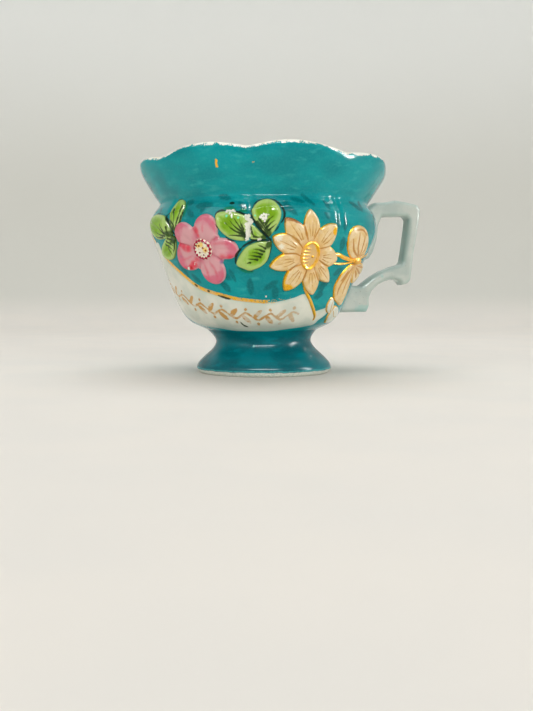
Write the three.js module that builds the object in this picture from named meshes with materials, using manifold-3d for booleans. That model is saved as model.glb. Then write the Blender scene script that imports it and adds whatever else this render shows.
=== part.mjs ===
// Porcelain shaving mug: a pedestal cup with a flared, scalloped collar, a round foot, a bracket
// handle, and pressed leaves and flowers laid on its wall. Millimetres, +Z up. The mug stands on
// z = 0, and the origin is the middle of its box on the table.
//
// Places on the wall are [angle, height]: the angle is in degrees round the mug from its decorated
// front, growing to the right, and the height is above the table.
import * as THREE from 'three';
import { mergeVertices } from 'three/addons/utils/BufferGeometryUtils.js';
import Module from 'manifold-3d';

const wasm = await Module();
wasm.setup();

// Driving dimensions.
const RIM_HEIGHT = 81.9; // top of the lip at the crest of a scallop in front
const RIM_RADIUS = 47.5;
const SCALLOP_DROP = 2.2; // how far the lip dips between two scallops
const LIP_ROUNDING = 1.5; // height of the rounded edge of the lip
const SIDE_DROP = 2.3; // how much lower the lip is at the sides and the back than in front
const FRONT_SPREAD = 52; // degrees to each side over which that drop comes in
const LEAN = 1.1; // the lower body stands this far to the left of the foot and the rim
const LEAN_BEGINS = [8, 22]; // heights between which the lean comes in
const LEAN_ENDS = [28, 54]; // and between which it goes out again
const LOBES = 8; // scallops round the mug, one of them over the handle
const COLLAR_LOBING = 0.5; // the rim swells and narrows by this much in plan
const BODY_LOBING = 0.2; // and the body by this much
const BODY_RISE = 30; // height over the joint at which that has fully come in
const JOINT_HEIGHT = 16.8; // where the bowl is stuck to the foot
const FLOOR_HEIGHT = 20.4; // inside bottom of the cup
const WALL = 2.8;
const LIP = 2.1;
const GAP = 0.3; // clear space between neighbouring pieces
const HANDLE_ANGLE = 106; // from the decorated front round to the handle
const HANDLE_THICKNESS = 6.8;
const HANDLE_BEVEL = 1;
const HANDLE_REACH = 65.9; // from the mug's axis to the outside of the grip
const COLUMNS = 48; // facets round the bowl and the foot

// Outside of the cup, as [height, radius]: belly, shoulder, neck and flared collar.
const CUP_PROFILE = [
  [16.9, 21.8], [19.6, 27.3], [24.3, 31.2], [35.1, 36.0], [44.4, 40.0], [52.1, 43.0], [56.2, 43.5],
  [61.0, 42.3], [64.3, 40.2], [67.5, 42.0], [73.3, 45.2], [77.6, 46.9], [RIM_HEIGHT, RIM_RADIUS],
];
const COLLAR_START = 63; // height where the collar begins to follow the scallops

// Outside of the foot from its joint down to its ring, then the hollow under it, as [height, radius].
const FOOT_SIDE = [
  [16.65, 21.3], [15.0, 19.8], [13.4, 18.8], [12.0, 18.6], [10.4, 19.3], [8.8, 20.6], [7.3, 22.3],
  [5.7, 24.0], [4.2, 25.4], [2.9, 26.2], [1.7, 26.35], [0.7, 25.9], [0, 25.0],
];
const FOOT_HOLLOW = [[0, 23.0], [0.5, 22.2], [3.5, 20.2], [7, 17], [9.2, 13]];
const HOLLOW_TOP = 9.8;

// Side outline of the handle, as [distance from the mug's axis, height]. Its ends run into the cup,
// and are cut back to the wall.
const HANDLE_TOP_AND_GRIP = [
  [38, 63], [42.1, 64.1], [46, 66.9], [49.8, 66.9], [54.7, 68], [59.5, 67.3], [64.3, 66.4],
  [HANDLE_REACH, 64.9], [64.3, 54], [63, 46.6], [61.9, 39], [61.6, 36.4], [60.5, 34.9], [58, 34.2],
  [56.5, 36.5],
];
const HANDLE_ARM_AND_BLOCK = [
  [53.3, 36.8], [50, 36], [47.1, 34.6], [44.2, 31.9], [43, 28.5], [43.2, 25.7], [42.2, 23.6], [28, 23.4],
];
const HANDLE_INNER_SIDE = [
  [30, 33.6], [39.9, 33.4], [45.3, 37.3], [49.1, 39.4], [53.6, 41.2], [57.6, 42.3], [58.6, 43.8],
  [59.6, 49.6], [60.5, 56.4], [60.8, 61.2], [59.3, 62.5], [48.6, 62], [46.9, 58.3], [46.4, 52.3], [45.1, 48],
  [43.2, 45.2], [35, 43],
];

// Relief: how far each kind of pressed piece stands off the wall at its edge and at its crown.
const LEAF_EDGE = 0.55;
const LEAF_CROWN = 1.25;
const PETAL_CROWN = 1.35;
const FLOWER_CUP = 0.75; // height of a flower's sunken middle, under its boss
const BOSS_EDGE = 0.3; // a boss's edge and crown, over the top of its flower
const BOSS_CROWN = 0.9;
const KNOT_CROWN = 1.8;
const RELIEF_RINGS = [1, 0.7, 0.38]; // rings of facets over a piece, from its edge (1) to its middle (0)
const SUNKEN_PART = 0.625; // a flower is sunken over this much of the way out
const CUTTER_DEPTH = -1; // what cuts a piece back goes from inside the wall to well off it
const CUTTER_HEIGHT = 5;
const CUTTER_SLACK = 0.15; // more than the gap, since a grown outline is narrower at its corners

const TEAL = 0x109088;
const FOOT_TEAL = 0x007d85;
const WHITE = 0xd2d4c6;
const LEAF_GREEN = 0x7fa84a;
const PINK = 0xd0828f;
const CRIMSON = 0xa03a48;
const CREAM_GOLD = 0xcbb083;
const BRIGHT_GOLD = 0xd9a441;

const glaze = (color) => new THREE.MeshStandardMaterial({ color, roughness: 0.12, metalness: 0 });
const gilding = (color) => new THREE.MeshStandardMaterial({ color, roughness: 0.3, metalness: 0.4 });
const painted = (color) => ([CREAM_GOLD, BRIGHT_GOLD].includes(color) ? gilding : glaze)(color);

// Height of the scalloped edge round the mug, 1 at a crest and 0 in a dip, with a soft bottom.
function scallop(turn) {
  const soft = 0.02;
  const wave = (Math.cos((LOBES / 2) * turn) ** 2 + soft) ** 0.4;
  const lowest = soft ** 0.4;
  return (wave - lowest) / ((1 + soft) ** 0.4 - lowest);
}

// Lowering of the lip at an angle from the decorated front, between two scallops and at the sides.
function rimDrop(turn) {
  const away = THREE.MathUtils.euclideanModulo(turn - turnOf(0) + Math.PI, 2 * Math.PI) - Math.PI;
  const front = Math.exp(-((THREE.MathUtils.radToDeg(away) / FRONT_SPREAD) ** 2));
  return SCALLOP_DROP * (1 - scallop(turn)) + SIDE_DROP * (1 - front);
}

// How far the body stands to the left at a height, and a place on it moved by that.
function lean(height) {
  const { smoothstep } = THREE.MathUtils;
  return LEAN * smoothstep(height, ...LEAN_BEGINS) * (1 - smoothstep(height, ...LEAN_ENDS));
}
function leaned(x, y, z) {
  const direction = turnOf(-90);
  return new THREE.Vector3(x + lean(z) * Math.cos(direction), y + lean(z) * Math.sin(direction), z);
}

// Radius of the cup at a height, as a smooth curve through its profile.
function cupRadius(height) {
  const p = CUP_PROFILE;
  const last = p.length - 1;
  let i = 0;
  while (i < last - 1 && height > p[i + 1][0]) i += 1;
  const slope = (k) => {
    const a = p[Math.max(k - 1, 0)];
    const b = p[Math.min(k + 1, last)];
    return (b[1] - a[1]) / (b[0] - a[0]);
  };
  const span = p[i + 1][0] - p[i][0];
  const t = THREE.MathUtils.clamp((height - p[i][0]) / span, 0, 1);
  const bend = (1 - t) * slope(i) * span;
  const bendEnd = t * slope(i + 1) * span;
  const blend = t * t * (3 - 2 * t);
  return p[i][1] + (p[i + 1][1] - p[i][1]) * blend + t * (1 - t) * (bend - bendEnd);
}

// Direction round the mug's axis, in radians, of an angle counted from the decorated front.
const turnOf = (angle) => THREE.MathUtils.degToRad(angle - HANDLE_ANGLE);

// A point a distance off the cup's wall, outward where it is positive.
function offWall(turn, height, distance) {
  const step = 0.05;
  const rise = 2 * step;
  const run = cupRadius(height + step) - cupRadius(height - step);
  const length = Math.hypot(rise, run);
  const collar = THREE.MathUtils.clamp((height - COLLAR_START) / (RIM_HEIGHT - COLLAR_START), 0, 1);
  const body = THREE.MathUtils.clamp((height - JOINT_HEIGHT) / BODY_RISE, 0, 1);
  // Seen from the front, the ornament stands upright on the leaning body.
  const way = turn + ((lean(height) / cupRadius(height)) * (1 + Math.cos(turn - turnOf(0)))) / 2;
  const swell = Math.cos(LOBES * way) * (BODY_LOBING * body + (COLLAR_LOBING - BODY_LOBING) * collar);
  const radius = cupRadius(height) + swell + (distance * rise) / length;
  const place = leaned(radius * Math.cos(way), radius * Math.sin(way), height);
  return place.setZ(height - rimDrop(way) * collar ** 2 - (distance * run) / length);
}

// A closed skin over rings of points. The first and the last ring are single points.
function skin(rings) {
  const positions = [];
  const starts = [];
  for (const ring of rings) {
    starts.push(positions.length / 3);
    for (const p of ring) positions.push(p.x, p.y, p.z);
  }
  const index = [];
  for (let i = 0; i + 1 < rings.length; i += 1) {
    const low = rings[i].length;
    const high = rings[i + 1].length;
    const around = Math.max(low, high);
    for (let j = 0; j < around; j += 1) {
      const a = starts[i] + (j % low);
      const b = starts[i] + ((j + 1) % low);
      const c = starts[i + 1] + (j % high);
      const d = starts[i + 1] + ((j + 1) % high);
      if (a !== b) index.push(a, b, c);
      if (c !== d) index.push(b, d, c);
    }
  }
  const geometry = new THREE.BufferGeometry();
  geometry.setAttribute('position', new THREE.Float32BufferAttribute(positions, 3));
  geometry.setIndex(index);
  return geometry;
}

// One ring round the mug's axis, from a function of the direction.
const ringOf = (point) => Array.from({ length: COLUMNS }, (_, j) => point((j / COLUMNS) * 2 * Math.PI));
const roundRing = (radius, z) =>
  ringOf((turn) => leaned(radius * Math.cos(turn), radius * Math.sin(turn), z));
const pole = (z) => [leaned(0, 0, z)];

const evenly = (from, to, count) =>
  Array.from({ length: count }, (_, k) => from + ((to - from) * k) / (count - 1));

function toManifold(geometry) {
  const plain = geometry.clone();
  plain.deleteAttribute('normal');
  plain.deleteAttribute('uv');
  const merged = mergeVertices(plain, 1e-4);
  return new wasm.Manifold(
    new wasm.Mesh({
      numProp: 3,
      vertProperties: new Float32Array(merged.attributes.position.array),
      triVerts: new Uint32Array(merged.index.array),
    }),
  );
}

function fromManifold(solid) {
  const mesh = solid.getMesh();
  const geometry = new THREE.BufferGeometry();
  geometry.setAttribute('position', new THREE.BufferAttribute(mesh.vertProperties, 3));
  geometry.setIndex(new THREE.BufferAttribute(mesh.triVerts, 1));
  return geometry;
}

// Heights of the bowl's rows of facets: closer together at the bends of the profile.
const LOWER_ROWS = [18.1, 19.6, 21.6, 24.3, 28, 32, 36, 40, 44, 48, 51.5, 54.5];
const UPPER_ROWS = [57.5, 60, 62, 63.6, 64.5, 65.6, 68, 71, 74, 77.5, RIM_HEIGHT - LIP_ROUNDING];
const INNER_ROWS = [77, 72, 67, 64.3, 60, 54, 47, 39, 31, 24.5, 20.4];
const JOINT_RING = 12; // an inner ring of facets across the flat joint of bowl and foot
const FLOOR_RINGS = [[19, 0.6], [9, 0.1]]; // radius and height over the middle of the cup's floor

function bowlGeometry() {
  const bottom = JOINT_HEIGHT + GAP / 2;
  const top = UPPER_ROWS.at(-1);
  const onWall = (height, distance = 0) => ringOf((turn) => offWall(turn, height, distance));
  const inside = (height) => {
    const thinning = THREE.MathUtils.smoothstep(height, COLLAR_START, top);
    return onWall(height, -THREE.MathUtils.lerp(WALL, LIP, thinning));
  };
  const lip = evenly(0.25, 0.75, 3).map((part) => {
    const bend = part * Math.PI;
    return ringOf((turn) => {
      const p = offWall(turn, top, -LIP / 2 + (Math.cos(bend) * LIP) / 2);
      return p.setZ(p.z + Math.sin(bend) * LIP_ROUNDING);
    });
  });
  return skin([
    pole(bottom),
    roundRing(JOINT_RING, bottom),
    roundRing(cupRadius(bottom), bottom),
    ...LOWER_ROWS.map((height) => onWall(height)),
    ...UPPER_ROWS.map((height) => onWall(height)),
    ...lip,
    inside(top),
    ...INNER_ROWS.map(inside),
    ...FLOOR_RINGS.map(([radius, rise]) => roundRing(radius, FLOOR_HEIGHT + rise)),
    pole(FLOOR_HEIGHT),
  ]);
}

function footGeometry() {
  const rings = [...FOOT_HOLLOW].reverse().concat([...FOOT_SIDE].reverse());
  return skin([
    pole(HOLLOW_TOP),
    ...rings.map(([z, radius]) => roundRing(radius, z)),
    roundRing(JOINT_RING, JOINT_HEIGHT - GAP / 2),
    pole(JOINT_HEIGHT - GAP / 2),
  ]);
}

// The whole space that the cup takes up, with the gap round it, which the handle is cut back by.
function cupEnvelope() {
  const rows = [...LOWER_ROWS, ...UPPER_ROWS].map((height) => ringOf((turn) => offWall(turn, height, GAP)));
  return toManifold(skin([pole(LOWER_ROWS[0] - GAP), ...rows, pole(RIM_HEIGHT + GAP)]));
}

function handleGeometry() {
  const outline = [...HANDLE_TOP_AND_GRIP, ...HANDLE_ARM_AND_BLOCK, ...HANDLE_INNER_SIDE];
  const shape = new THREE.Shape(outline.map(([x, z]) => new THREE.Vector2(x, z)));
  const depth = HANDLE_THICKNESS - 2 * HANDLE_BEVEL;
  const geometry = new THREE.ExtrudeGeometry(shape, {
    depth,
    bevelThickness: HANDLE_BEVEL,
    bevelSize: HANDLE_BEVEL,
    bevelOffset: -HANDLE_BEVEL,
    bevelSegments: 2,
  });
  geometry.rotateX(Math.PI / 2);
  geometry.translate(0, depth / 2, 0);
  return fromManifold(toManifold(geometry).subtract(cupEnvelope()));
}

// A smooth closed outline through a few places on the wall, with the same steps between each two,
// running anticlockwise as seen from outside.
function smoothOutline(places, steps) {
  const points = places.map(([angle, height]) => new THREE.Vector3(angle, height, 0));
  if (THREE.ShapeUtils.isClockWise(points)) points.reverse();
  const curve = new THREE.CatmullRomCurve3(points, true, 'centripetal');
  const count = places.length * steps;
  return Array.from({ length: count }, (_, k) => curve.getPoint(k / count)).map((p) => [p.x, p.y]);
}

// Outline of a flower about its middle. Its petals part at the hub.
function flowerOutline({ middle: [angle, height], hub, sharpness, petals, count }) {
  return evenly(0, 360, count + 1).slice(0, count).map((direction) => {
    const reaches = petals.map(([axis, length, spread]) => {
      const away = Math.abs(((direction - axis + 540) % 360) - 180) / spread;
      return away < 1 ? hub + (length - hub) * (1 - away ** sharpness) : hub;
    });
    const reach = Math.max(...reaches);
    const z = height + reach * Math.sin(THREE.MathUtils.degToRad(direction));
    const across = reach * Math.cos(THREE.MathUtils.degToRad(direction));
    return [angle + THREE.MathUtils.radToDeg(across / cupRadius(z)), z];
  });
}

const middleOf = (outline) =>
  [0, 1].map((k) => outline.reduce((sum, place) => sum + place[k], 0) / outline.length);

// Distance on the wall between two places, in millimetres.
function apart([angleA, heightA], [angleB, heightB]) {
  const across = THREE.MathUtils.degToRad(angleA - angleB) * cupRadius((heightA + heightB) / 2);
  return Math.hypot(across, heightA - heightB);
}

// A pressed piece: its outline laid on the wall, with an even underside and a crowned top. The crown
// is the height over the wall from the edge (1) to the middle (0) of the piece.
function reliefGeometry(outline, middle, underside, crown) {
  const ring = (part, rise) =>
    outline.map(([angle, height]) => {
      const a = middle[0] + (angle - middle[0]) * part;
      const z = middle[1] + (height - middle[1]) * part;
      return offWall(turnOf(a), z, rise);
    });
  const point = (rise) => [offWall(turnOf(middle[0]), middle[1], rise)];
  return skin([
    point(underside),
    ...[...RELIEF_RINGS].reverse().map((part) => ring(part, underside)),
    ...RELIEF_RINGS.map((part) => ring(part, crown(part))),
    point(crown(0)),
  ]);
}

// The same outline grown by the gap and made thick, which cuts neighbouring pieces back.
function reliefCutter(outline, middle) {
  const grown = outline.map((place) => {
    const scale = 1 + (GAP + CUTTER_SLACK) / apart(place, middle);
    return place.map((value, k) => middle[k] + (value - middle[k]) * scale);
  });
  return toManifold(reliefGeometry(grown, middle, CUTTER_DEPTH, () => CUTTER_HEIGHT));
}

const domed = (edge, top) => (part) => edge + (top - edge) * Math.sqrt(1 - part ** 2);
// A flower is highest halfway out along its petals, and sunken in the middle.
const cupped = (part) => {
  const side = part === 1 ? LEAF_EDGE : PETAL_CROWN;
  return THREE.MathUtils.lerp(side, FLOWER_CUP, 1 - Math.min(part / SUNKEN_PART, 1));
};

// A petal is [direction, length, half its spread in degrees].
const PINK_FLOWER = {
  middle: [-30.5, 46.3],
  hub: 7.9,
  sharpness: 1.9,
  petals: [
    [-2.2, 12.9, 26.7], [70.3, 11.9, 35.5], [146.3, 13.7, 31.8], [195.2, 13.5, 41.8], [283.1, 12.6, 36.7],
  ],
  count: 60,
};
const GOLD_FLOWER = {
  middle: [23.4, 43.9],
  hub: 5.7,
  sharpness: 1.32,
  petals: [
    [-4.3, 12.1, 39.4], [51, 13.8, 38.3], [96.8, 15.4, 28.9], [131.1, 16.2, 28.5], [157.2, 15.6, 29.7],
    [195.9, 14.4, 30.2], [240.1, 14.2, 34.2], [286.7, 14.3, 33.4], [319.2, 13.8, 26.1],
  ],
  count: 90,
};
const PINK_BOSS = { middle: [-31.6, 46.2], halfWidth: 5, halfHeight: 3.1 };
const GOLD_BOSS = { middle: [23.3, 43.9], halfWidth: 4.7, halfHeight: 4.3 };

// Every other pressed piece, the ones that lie on top first, each cut back by those before it.
const SPRIGS = [
  {
    name: 'left_leaf_upper',
    places: [
      [-47.8, 64.1], [-42.2, 62.7], [-40.8, 61.2], [-42.4, 55.6], [-46.2, 52.2], [-49.3, 54.5], [-51.6, 57.2],
      [-50.4, 60],
    ],
  },
  {
    name: 'left_leaf_outer',
    places: [
      [-75, 57], [-72.6, 58.9], [-67, 59.6], [-56.2, 58.6], [-53.7, 57.1], [-49, 51.6], [-54.9, 50.6],
      [-66, 50.8], [-71.2, 53.2],
    ],
  },
  {
    name: 'left_leaf_lower',
    places: [
      [-50.8, 51.3], [-47.7, 50], [-51.5, 45.1], [-54.6, 43.3], [-60, 42.9], [-65.8, 45.6], [-63.4, 47.8],
      [-59, 49.6],
    ],
  },
  {
    name: 'middle_leaf_top',
    places: [
      [1.2, 62.3], [-2.7, 61.4], [-5.4, 59], [-4.2, 54.9], [2.1, 49.7], [6.9, 54.6], [7.8, 57.2], [4.8, 61.6],
    ],
  },
  {
    name: 'middle_leaf_left',
    places: [
      [-22.2, 56.9], [-20.9, 58], [-13.4, 58.1], [-7.4, 55.8], [-6.8, 52.4], [-8.6, 48.6], [-12.2, 48.6],
      [-19.5, 51.3],
    ],
  },
  { name: 'middle_leaf_sliver', places: [[-6, 54.1], [-3.8, 53.1], [1.2, 49.3], [-0.9, 48.9], [-6.6, 49.6]] },
  {
    name: 'middle_leaf_low',
    places: [
      [3.7, 48.4], [-3.7, 48], [-8.6, 46.5], [-12.6, 43.4], [-14.4, 40.5], [-7.4, 38.4], [0.8, 41.1],
      [3.2, 45.4],
    ],
  },
  {
    name: 'gold_knot',
    color: BRIGHT_GOLD,
    crown: KNOT_CROWN,
    places: [[54.6, 43.2], [58.4, 44.9], [64.4, 43.8], [62.8, 41.6], [58.4, 40.8], [55.2, 41.6]],
  },
  {
    name: 'gold_link',
    color: BRIGHT_GOLD,
    places: [[39.5, 44.9], [46, 44.4], [57, 43.6], [57, 41.6], [46, 40.8], [38.5, 40.6]],
  },
  {
    name: 'gold_bud',
    color: CREAM_GOLD,
    places: [
      [52.3, 43.5], [46.4, 46.7], [44.5, 51.3], [48, 54.5], [52, 54.9], [61.2, 51.7], [65.7, 45.9],
      [64.8, 44.1],
    ],
  },
  {
    name: 'gold_long_leaf',
    color: CREAM_GOLD,
    places: [
      [58.1, 41.3], [54.5, 41.4], [49, 37.6], [47.2, 32.6], [52.7, 28.2], [63.8, 26.3], [65.6, 31.2],
      [60.1, 39.2],
    ],
  },
  {
    name: 'gold_short_leaf',
    color: CREAM_GOLD,
    places: [[57.8, 41.2], [69.4, 42.2], [79.4, 40.4], [75.6, 35.6], [71, 34.6], [62.2, 37.2]],
  },
  {
    name: 'white_leaf_upper',
    color: WHITE,
    places: [[49.2, 29.4], [46.3, 26.4], [51.6, 23.4], [53.9, 24.1], [54.4, 25.6], [53, 27.6]],
  },
  {
    name: 'white_leaf_lower',
    color: WHITE,
    places: [[54.9, 25.6], [53.4, 22.4], [56.3, 20.1], [63.5, 19.9], [69.3, 22.4], [62, 25.7]],
  },
  {
    name: 'gold_stem',
    color: BRIGHT_GOLD,
    places: [
      [24.4, 31.6], [29.2, 28], [33, 25.4], [38.4, 21.4], [40.8, 21.2], [36.8, 25], [32.8, 27.5],
      [26.8, 31.2],
    ],
  },
];

// The flowers first, since they lie over everything else, then the other pieces.
function pressedMeshes() {
  const flowers = [
    { name: 'pink_flower', color: PINK, flower: PINK_FLOWER },
    { name: 'gold_flower', color: CREAM_GOLD, flower: GOLD_FLOWER },
  ].map(({ flower, ...piece }) => ({ ...piece, middle: flower.middle, outline: flowerOutline(flower) }));
  const others = SPRIGS.map(({ name, color = LEAF_GREEN, crown = LEAF_CROWN, places }) => {
    const outline = smoothOutline(places, 3);
    return { name, color, outline, middle: middleOf(outline), shape: domed(LEAF_EDGE, crown) };
  });
  const cutters = [];
  return [...flowers, ...others].map(({ name, color, middle, outline, shape = cupped }) => {
    let solid = toManifold(reliefGeometry(outline, middle, GAP, shape));
    for (const cutter of cutters) solid = solid.subtract(cutter);
    cutters.push(reliefCutter(outline, middle));
    return named(name, fromManifold(solid), painted(color));
  });
}

// The boss in the middle of a flower: an oval button that bridges the flower's sunken middle.
function flowerBoss(name, color, { middle, halfWidth, halfHeight }) {
  const outline = evenly(0, 2 * Math.PI, 17).slice(0, 16).map((turn) => [
    middle[0] + halfWidth * Math.cos(turn),
    middle[1] + halfHeight * Math.sin(turn),
  ]);
  const underside = PETAL_CROWN + GAP;
  const shape = domed(underside + BOSS_EDGE, underside + BOSS_CROWN);
  return named(name, reliefGeometry(outline, middle, underside, shape), painted(color));
}

function named(name, geometry, material) {
  const mesh = new THREE.Mesh(geometry, material);
  mesh.name = name;
  return mesh;
}

const mug = new THREE.Group();
mug.add(
  named('bowl', bowlGeometry(), glaze(TEAL)),
  named('pedestal_foot', footGeometry(), glaze(FOOT_TEAL)),
  named('handle', handleGeometry(), glaze(WHITE)),
  ...pressedMeshes(),
  flowerBoss('pink_flower_centre', CRIMSON, PINK_BOSS),
  flowerBoss('gold_flower_centre', BRIGHT_GOLD, GOLD_BOSS),
);

// The handle reaches further than the rim does, so the mug's axis stands off the middle of its box.
const box = new THREE.Box3().setFromObject(mug);
mug.position.x = -(box.min.x + box.max.x) / 2;

const scene = new THREE.Group();
scene.add(mug);
export default scene;
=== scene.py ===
import math

import bpy
import numpy as np
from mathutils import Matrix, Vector


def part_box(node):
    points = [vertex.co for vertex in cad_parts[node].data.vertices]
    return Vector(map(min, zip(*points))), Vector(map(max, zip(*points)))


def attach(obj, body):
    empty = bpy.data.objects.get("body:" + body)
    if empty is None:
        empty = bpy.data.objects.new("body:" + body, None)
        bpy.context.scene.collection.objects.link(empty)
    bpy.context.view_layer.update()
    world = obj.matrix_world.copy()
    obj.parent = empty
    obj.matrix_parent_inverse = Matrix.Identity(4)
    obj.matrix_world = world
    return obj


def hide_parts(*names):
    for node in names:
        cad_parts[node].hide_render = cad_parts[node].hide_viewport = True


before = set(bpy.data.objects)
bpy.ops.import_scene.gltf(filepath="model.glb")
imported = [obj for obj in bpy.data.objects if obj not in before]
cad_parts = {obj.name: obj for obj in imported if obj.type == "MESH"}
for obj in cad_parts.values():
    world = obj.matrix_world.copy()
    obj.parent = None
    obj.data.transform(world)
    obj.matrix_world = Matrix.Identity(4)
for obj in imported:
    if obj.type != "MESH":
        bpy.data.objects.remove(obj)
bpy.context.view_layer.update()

MM = 0.001

# Driving dimensions of the wall.
RIM_HEIGHT = 81.9
RIM_RADIUS = 47.4
SCALLOP_DROP = 2.2
SIDE_DROP = 2.3  # the rim stands highest at the decorated front
FRONT_SPREAD = 52  # degrees to each side over which it falls
LEAN = 1.1  # the lower body stands this far to the left of the foot and the rim
LEAN_BEGINS = (8, 22)  # heights between which the lean comes in
LEAN_ENDS = (28, 54)  # and between which it goes out again
LOBES = 8
COLLAR_LOBING = 0.5
BODY_LOBING = 0.2
BODY_RISE = 30  # height over the joint at which the body's lobes have fully come in
COLLAR_START = 63
JOINT_HEIGHT = 16.8
FLOOR_HEIGHT = 20.4
WALL = 2.8
LIP = 2.1
HANDLE_ANGLE = 106
HANDLE_THICKNESS = 6.8
LOBE_ANGLE = 360 / LOBES

# Outside of the cup, as (height, radius).
CUP_PROFILE = np.array([
    (16.9, 21.8), (19.6, 27.3), (24.3, 31.2), (35.1, 36.0), (44.4, 40.0), (52.1, 43.0), (56.2, 43.5),
    (61.0, 42.3), (64.3, 40.2), (67.5, 42.0), (73.3, 45.2), (77.6, 46.9), (RIM_HEIGHT, RIM_RADIUS),
])
# The foot from where it enters the bowl down to its ring, then the hollow under it.
FOOT_SIDE = [
    (17.4, 22.4), (16.65, 21.3), (15.0, 19.8), (13.4, 18.8), (12.0, 18.6), (10.4, 19.3), (8.8, 20.6),
    (7.3, 22.3), (5.7, 24.0), (4.2, 25.4), (2.9, 26.2), (1.7, 26.3), (0.7, 25.8), (0.05, 25.0),
]
FOOT_HOLLOW = [(0.05, 23.0), (0.6, 22.0), (3.5, 20.2), (7.0, 17.0), (9.2, 12.0), (9.8, 5.0)]

foot_low, foot_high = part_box("pedestal_foot")
AXIS = (foot_low + foot_high) / 2


def smoothstep(low, high, value):
    share = np.clip((value - low) / (high - low), 0, 1)
    return share * share * (3 - 2 * share)


def bell(value, width):
    return np.exp(-((value / width) ** 2))


# ---------------------------------------------------------------------------------- the wall


def cup_radius(height):
    """Radius of the cup at a height, as a smooth curve through its profile."""
    z, r = CUP_PROFILE.T
    slope = np.empty(len(z))
    slope[1:-1] = (r[2:] - r[:-2]) / (z[2:] - z[:-2])
    slope[0] = (r[1] - r[0]) / (z[1] - z[0])
    slope[-1] = (r[-1] - r[-2]) / (z[-1] - z[-2])
    i = np.clip(np.searchsorted(z, height, side="right") - 1, 0, len(z) - 2)
    span = z[i + 1] - z[i]
    t = np.clip((height - z[i]) / span, 0, 1)
    curve = t * (1 - t) * span * ((1 - t) * slope[i] - t * slope[i + 1])
    return r[i] + (r[i + 1] - r[i]) * t * t * (3 - 2 * t) + curve


def turn_of(angle):
    """Direction round the mug's axis, in radians."""
    return np.radians(angle - HANDLE_ANGLE)


def scallop(turn):
    """Height of the scalloped edge, 1 at a crest and 0 in a dip."""
    soft = 0.02
    wave = (np.cos(LOBES / 2 * turn) ** 2 + soft) ** 0.4
    return (wave - soft**0.4) / ((1 + soft) ** 0.4 - soft**0.4)


def front_share(angle):
    """1 at the decorated front, falling to 0 at the sides and the back."""
    return bell((angle + 180) % 360 - 180, FRONT_SPREAD)


def lean(height):
    """The fired mug leans a little to its left in the lower body."""
    return LEAN * smoothstep(*LEAN_BEGINS, height) * (1 - smoothstep(*LEAN_ENDS, height))


def leaned(x, y, height):
    direction = turn_of(-90)
    return x + lean(height) * np.cos(direction), y + lean(height) * np.sin(direction)


def mould_relief(angle, height):
    """Folds at the dips of the scallops, raised lines at neck and shoulder, and a hand-made unevenness."""
    turn = turn_of(angle)
    aside = (angle - HANDLE_ANGLE) % LOBE_ANGLE - LOBE_ANGLE / 2
    from_fold = np.radians(aside) * cup_radius(height)
    fold = smoothstep(46, 57, height) * (1 - smoothstep(61.5, 67, height))
    crease = 0.16 * bell(np.abs(from_fold) - 2.6, 1.5) - 0.62 * bell(from_fold, 1.0)
    shoulder_line = 58.6 + 1.5 * scallop(turn)
    lines = 0.17 * bell(height - shoulder_line, 0.38) + 0.15 * bell(height - 63.5, 0.36)
    off_collar = 1 - smoothstep(COLLAR_START, RIM_HEIGHT, height)
    waves = np.sin(3 * turn + 1) * np.sin(height / 9) + 0.7 * np.sin(7 * turn + 2) * np.sin(height / 5.5 + 1)
    return fold * crease + lines + 0.11 * off_collar * waves


def wall(angle, height, distance=0.0):
    """Points a distance off the wall, outward where it is positive, about the mug's axis."""
    angle, height, distance = np.broadcast_arrays(
        np.asarray(angle, float), np.asarray(height, float), np.asarray(distance, float)
    )
    # Seen from the front, the painting stands upright on the leaning body.
    upright = np.degrees(lean(height) / cup_radius(height)) * (1 + np.cos(np.radians(angle))) / 2
    turn = turn_of(angle + upright)
    step = 0.05
    run = cup_radius(height + step) - cup_radius(height - step)
    length = np.hypot(2 * step, run)
    collar = np.clip((height - COLLAR_START) / (RIM_HEIGHT - COLLAR_START), 0, 1)
    body = np.clip((height - JOINT_HEIGHT) / BODY_RISE, 0, 1)
    swell = np.cos(LOBES * turn) * (BODY_LOBING * body + (COLLAR_LOBING - BODY_LOBING) * collar)
    drop = (SCALLOP_DROP * (1 - scallop(turn)) + SIDE_DROP * (1 - front_share(angle))) * collar**2
    outward = cup_radius(height) + swell + mould_relief(angle, height) + distance * 2 * step / length
    z = height - drop - distance * run / length
    x, y = leaned(outward * np.cos(turn), outward * np.sin(turn), height)
    return np.stack([x, y, z], -1)


# ---------------------------------------------------------------------------------- meshes


def new_object(name, vertices, faces):
    mesh = bpy.data.meshes.new(name)
    placed = np.asarray(vertices) * MM + np.array([AXIS.x, AXIS.y, 0])
    mesh.from_pydata(placed.tolist(), [], faces)
    mesh.validate()
    mesh.shade_smooth()
    obj = bpy.data.objects.new(name, mesh)
    bpy.context.scene.collection.objects.link(obj)
    return obj


def skin(name, rings):
    """A closed mesh over rings of points. The first and the last ring are single points."""
    sizes = [len(ring) for ring in rings]
    starts = np.concatenate([[0], np.cumsum(sizes)])
    faces = []
    for i in range(len(rings) - 1):
        low, high, around = sizes[i], sizes[i + 1], max(sizes[i], sizes[i + 1])
        j = np.arange(around)
        k = (j + 1) % around
        a, b = starts[i] + j % low, starts[i] + k % low
        c, d = starts[i + 1] + j % high, starts[i + 1] + k % high
        if low == 1:
            faces += np.stack([a, d, c], 1).tolist()
        elif high == 1:
            faces += np.stack([a, b, c], 1).tolist()
        else:
            faces += np.stack([a, b, d, c], 1).tolist()
    return new_object(name, np.concatenate(rings), faces)


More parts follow.
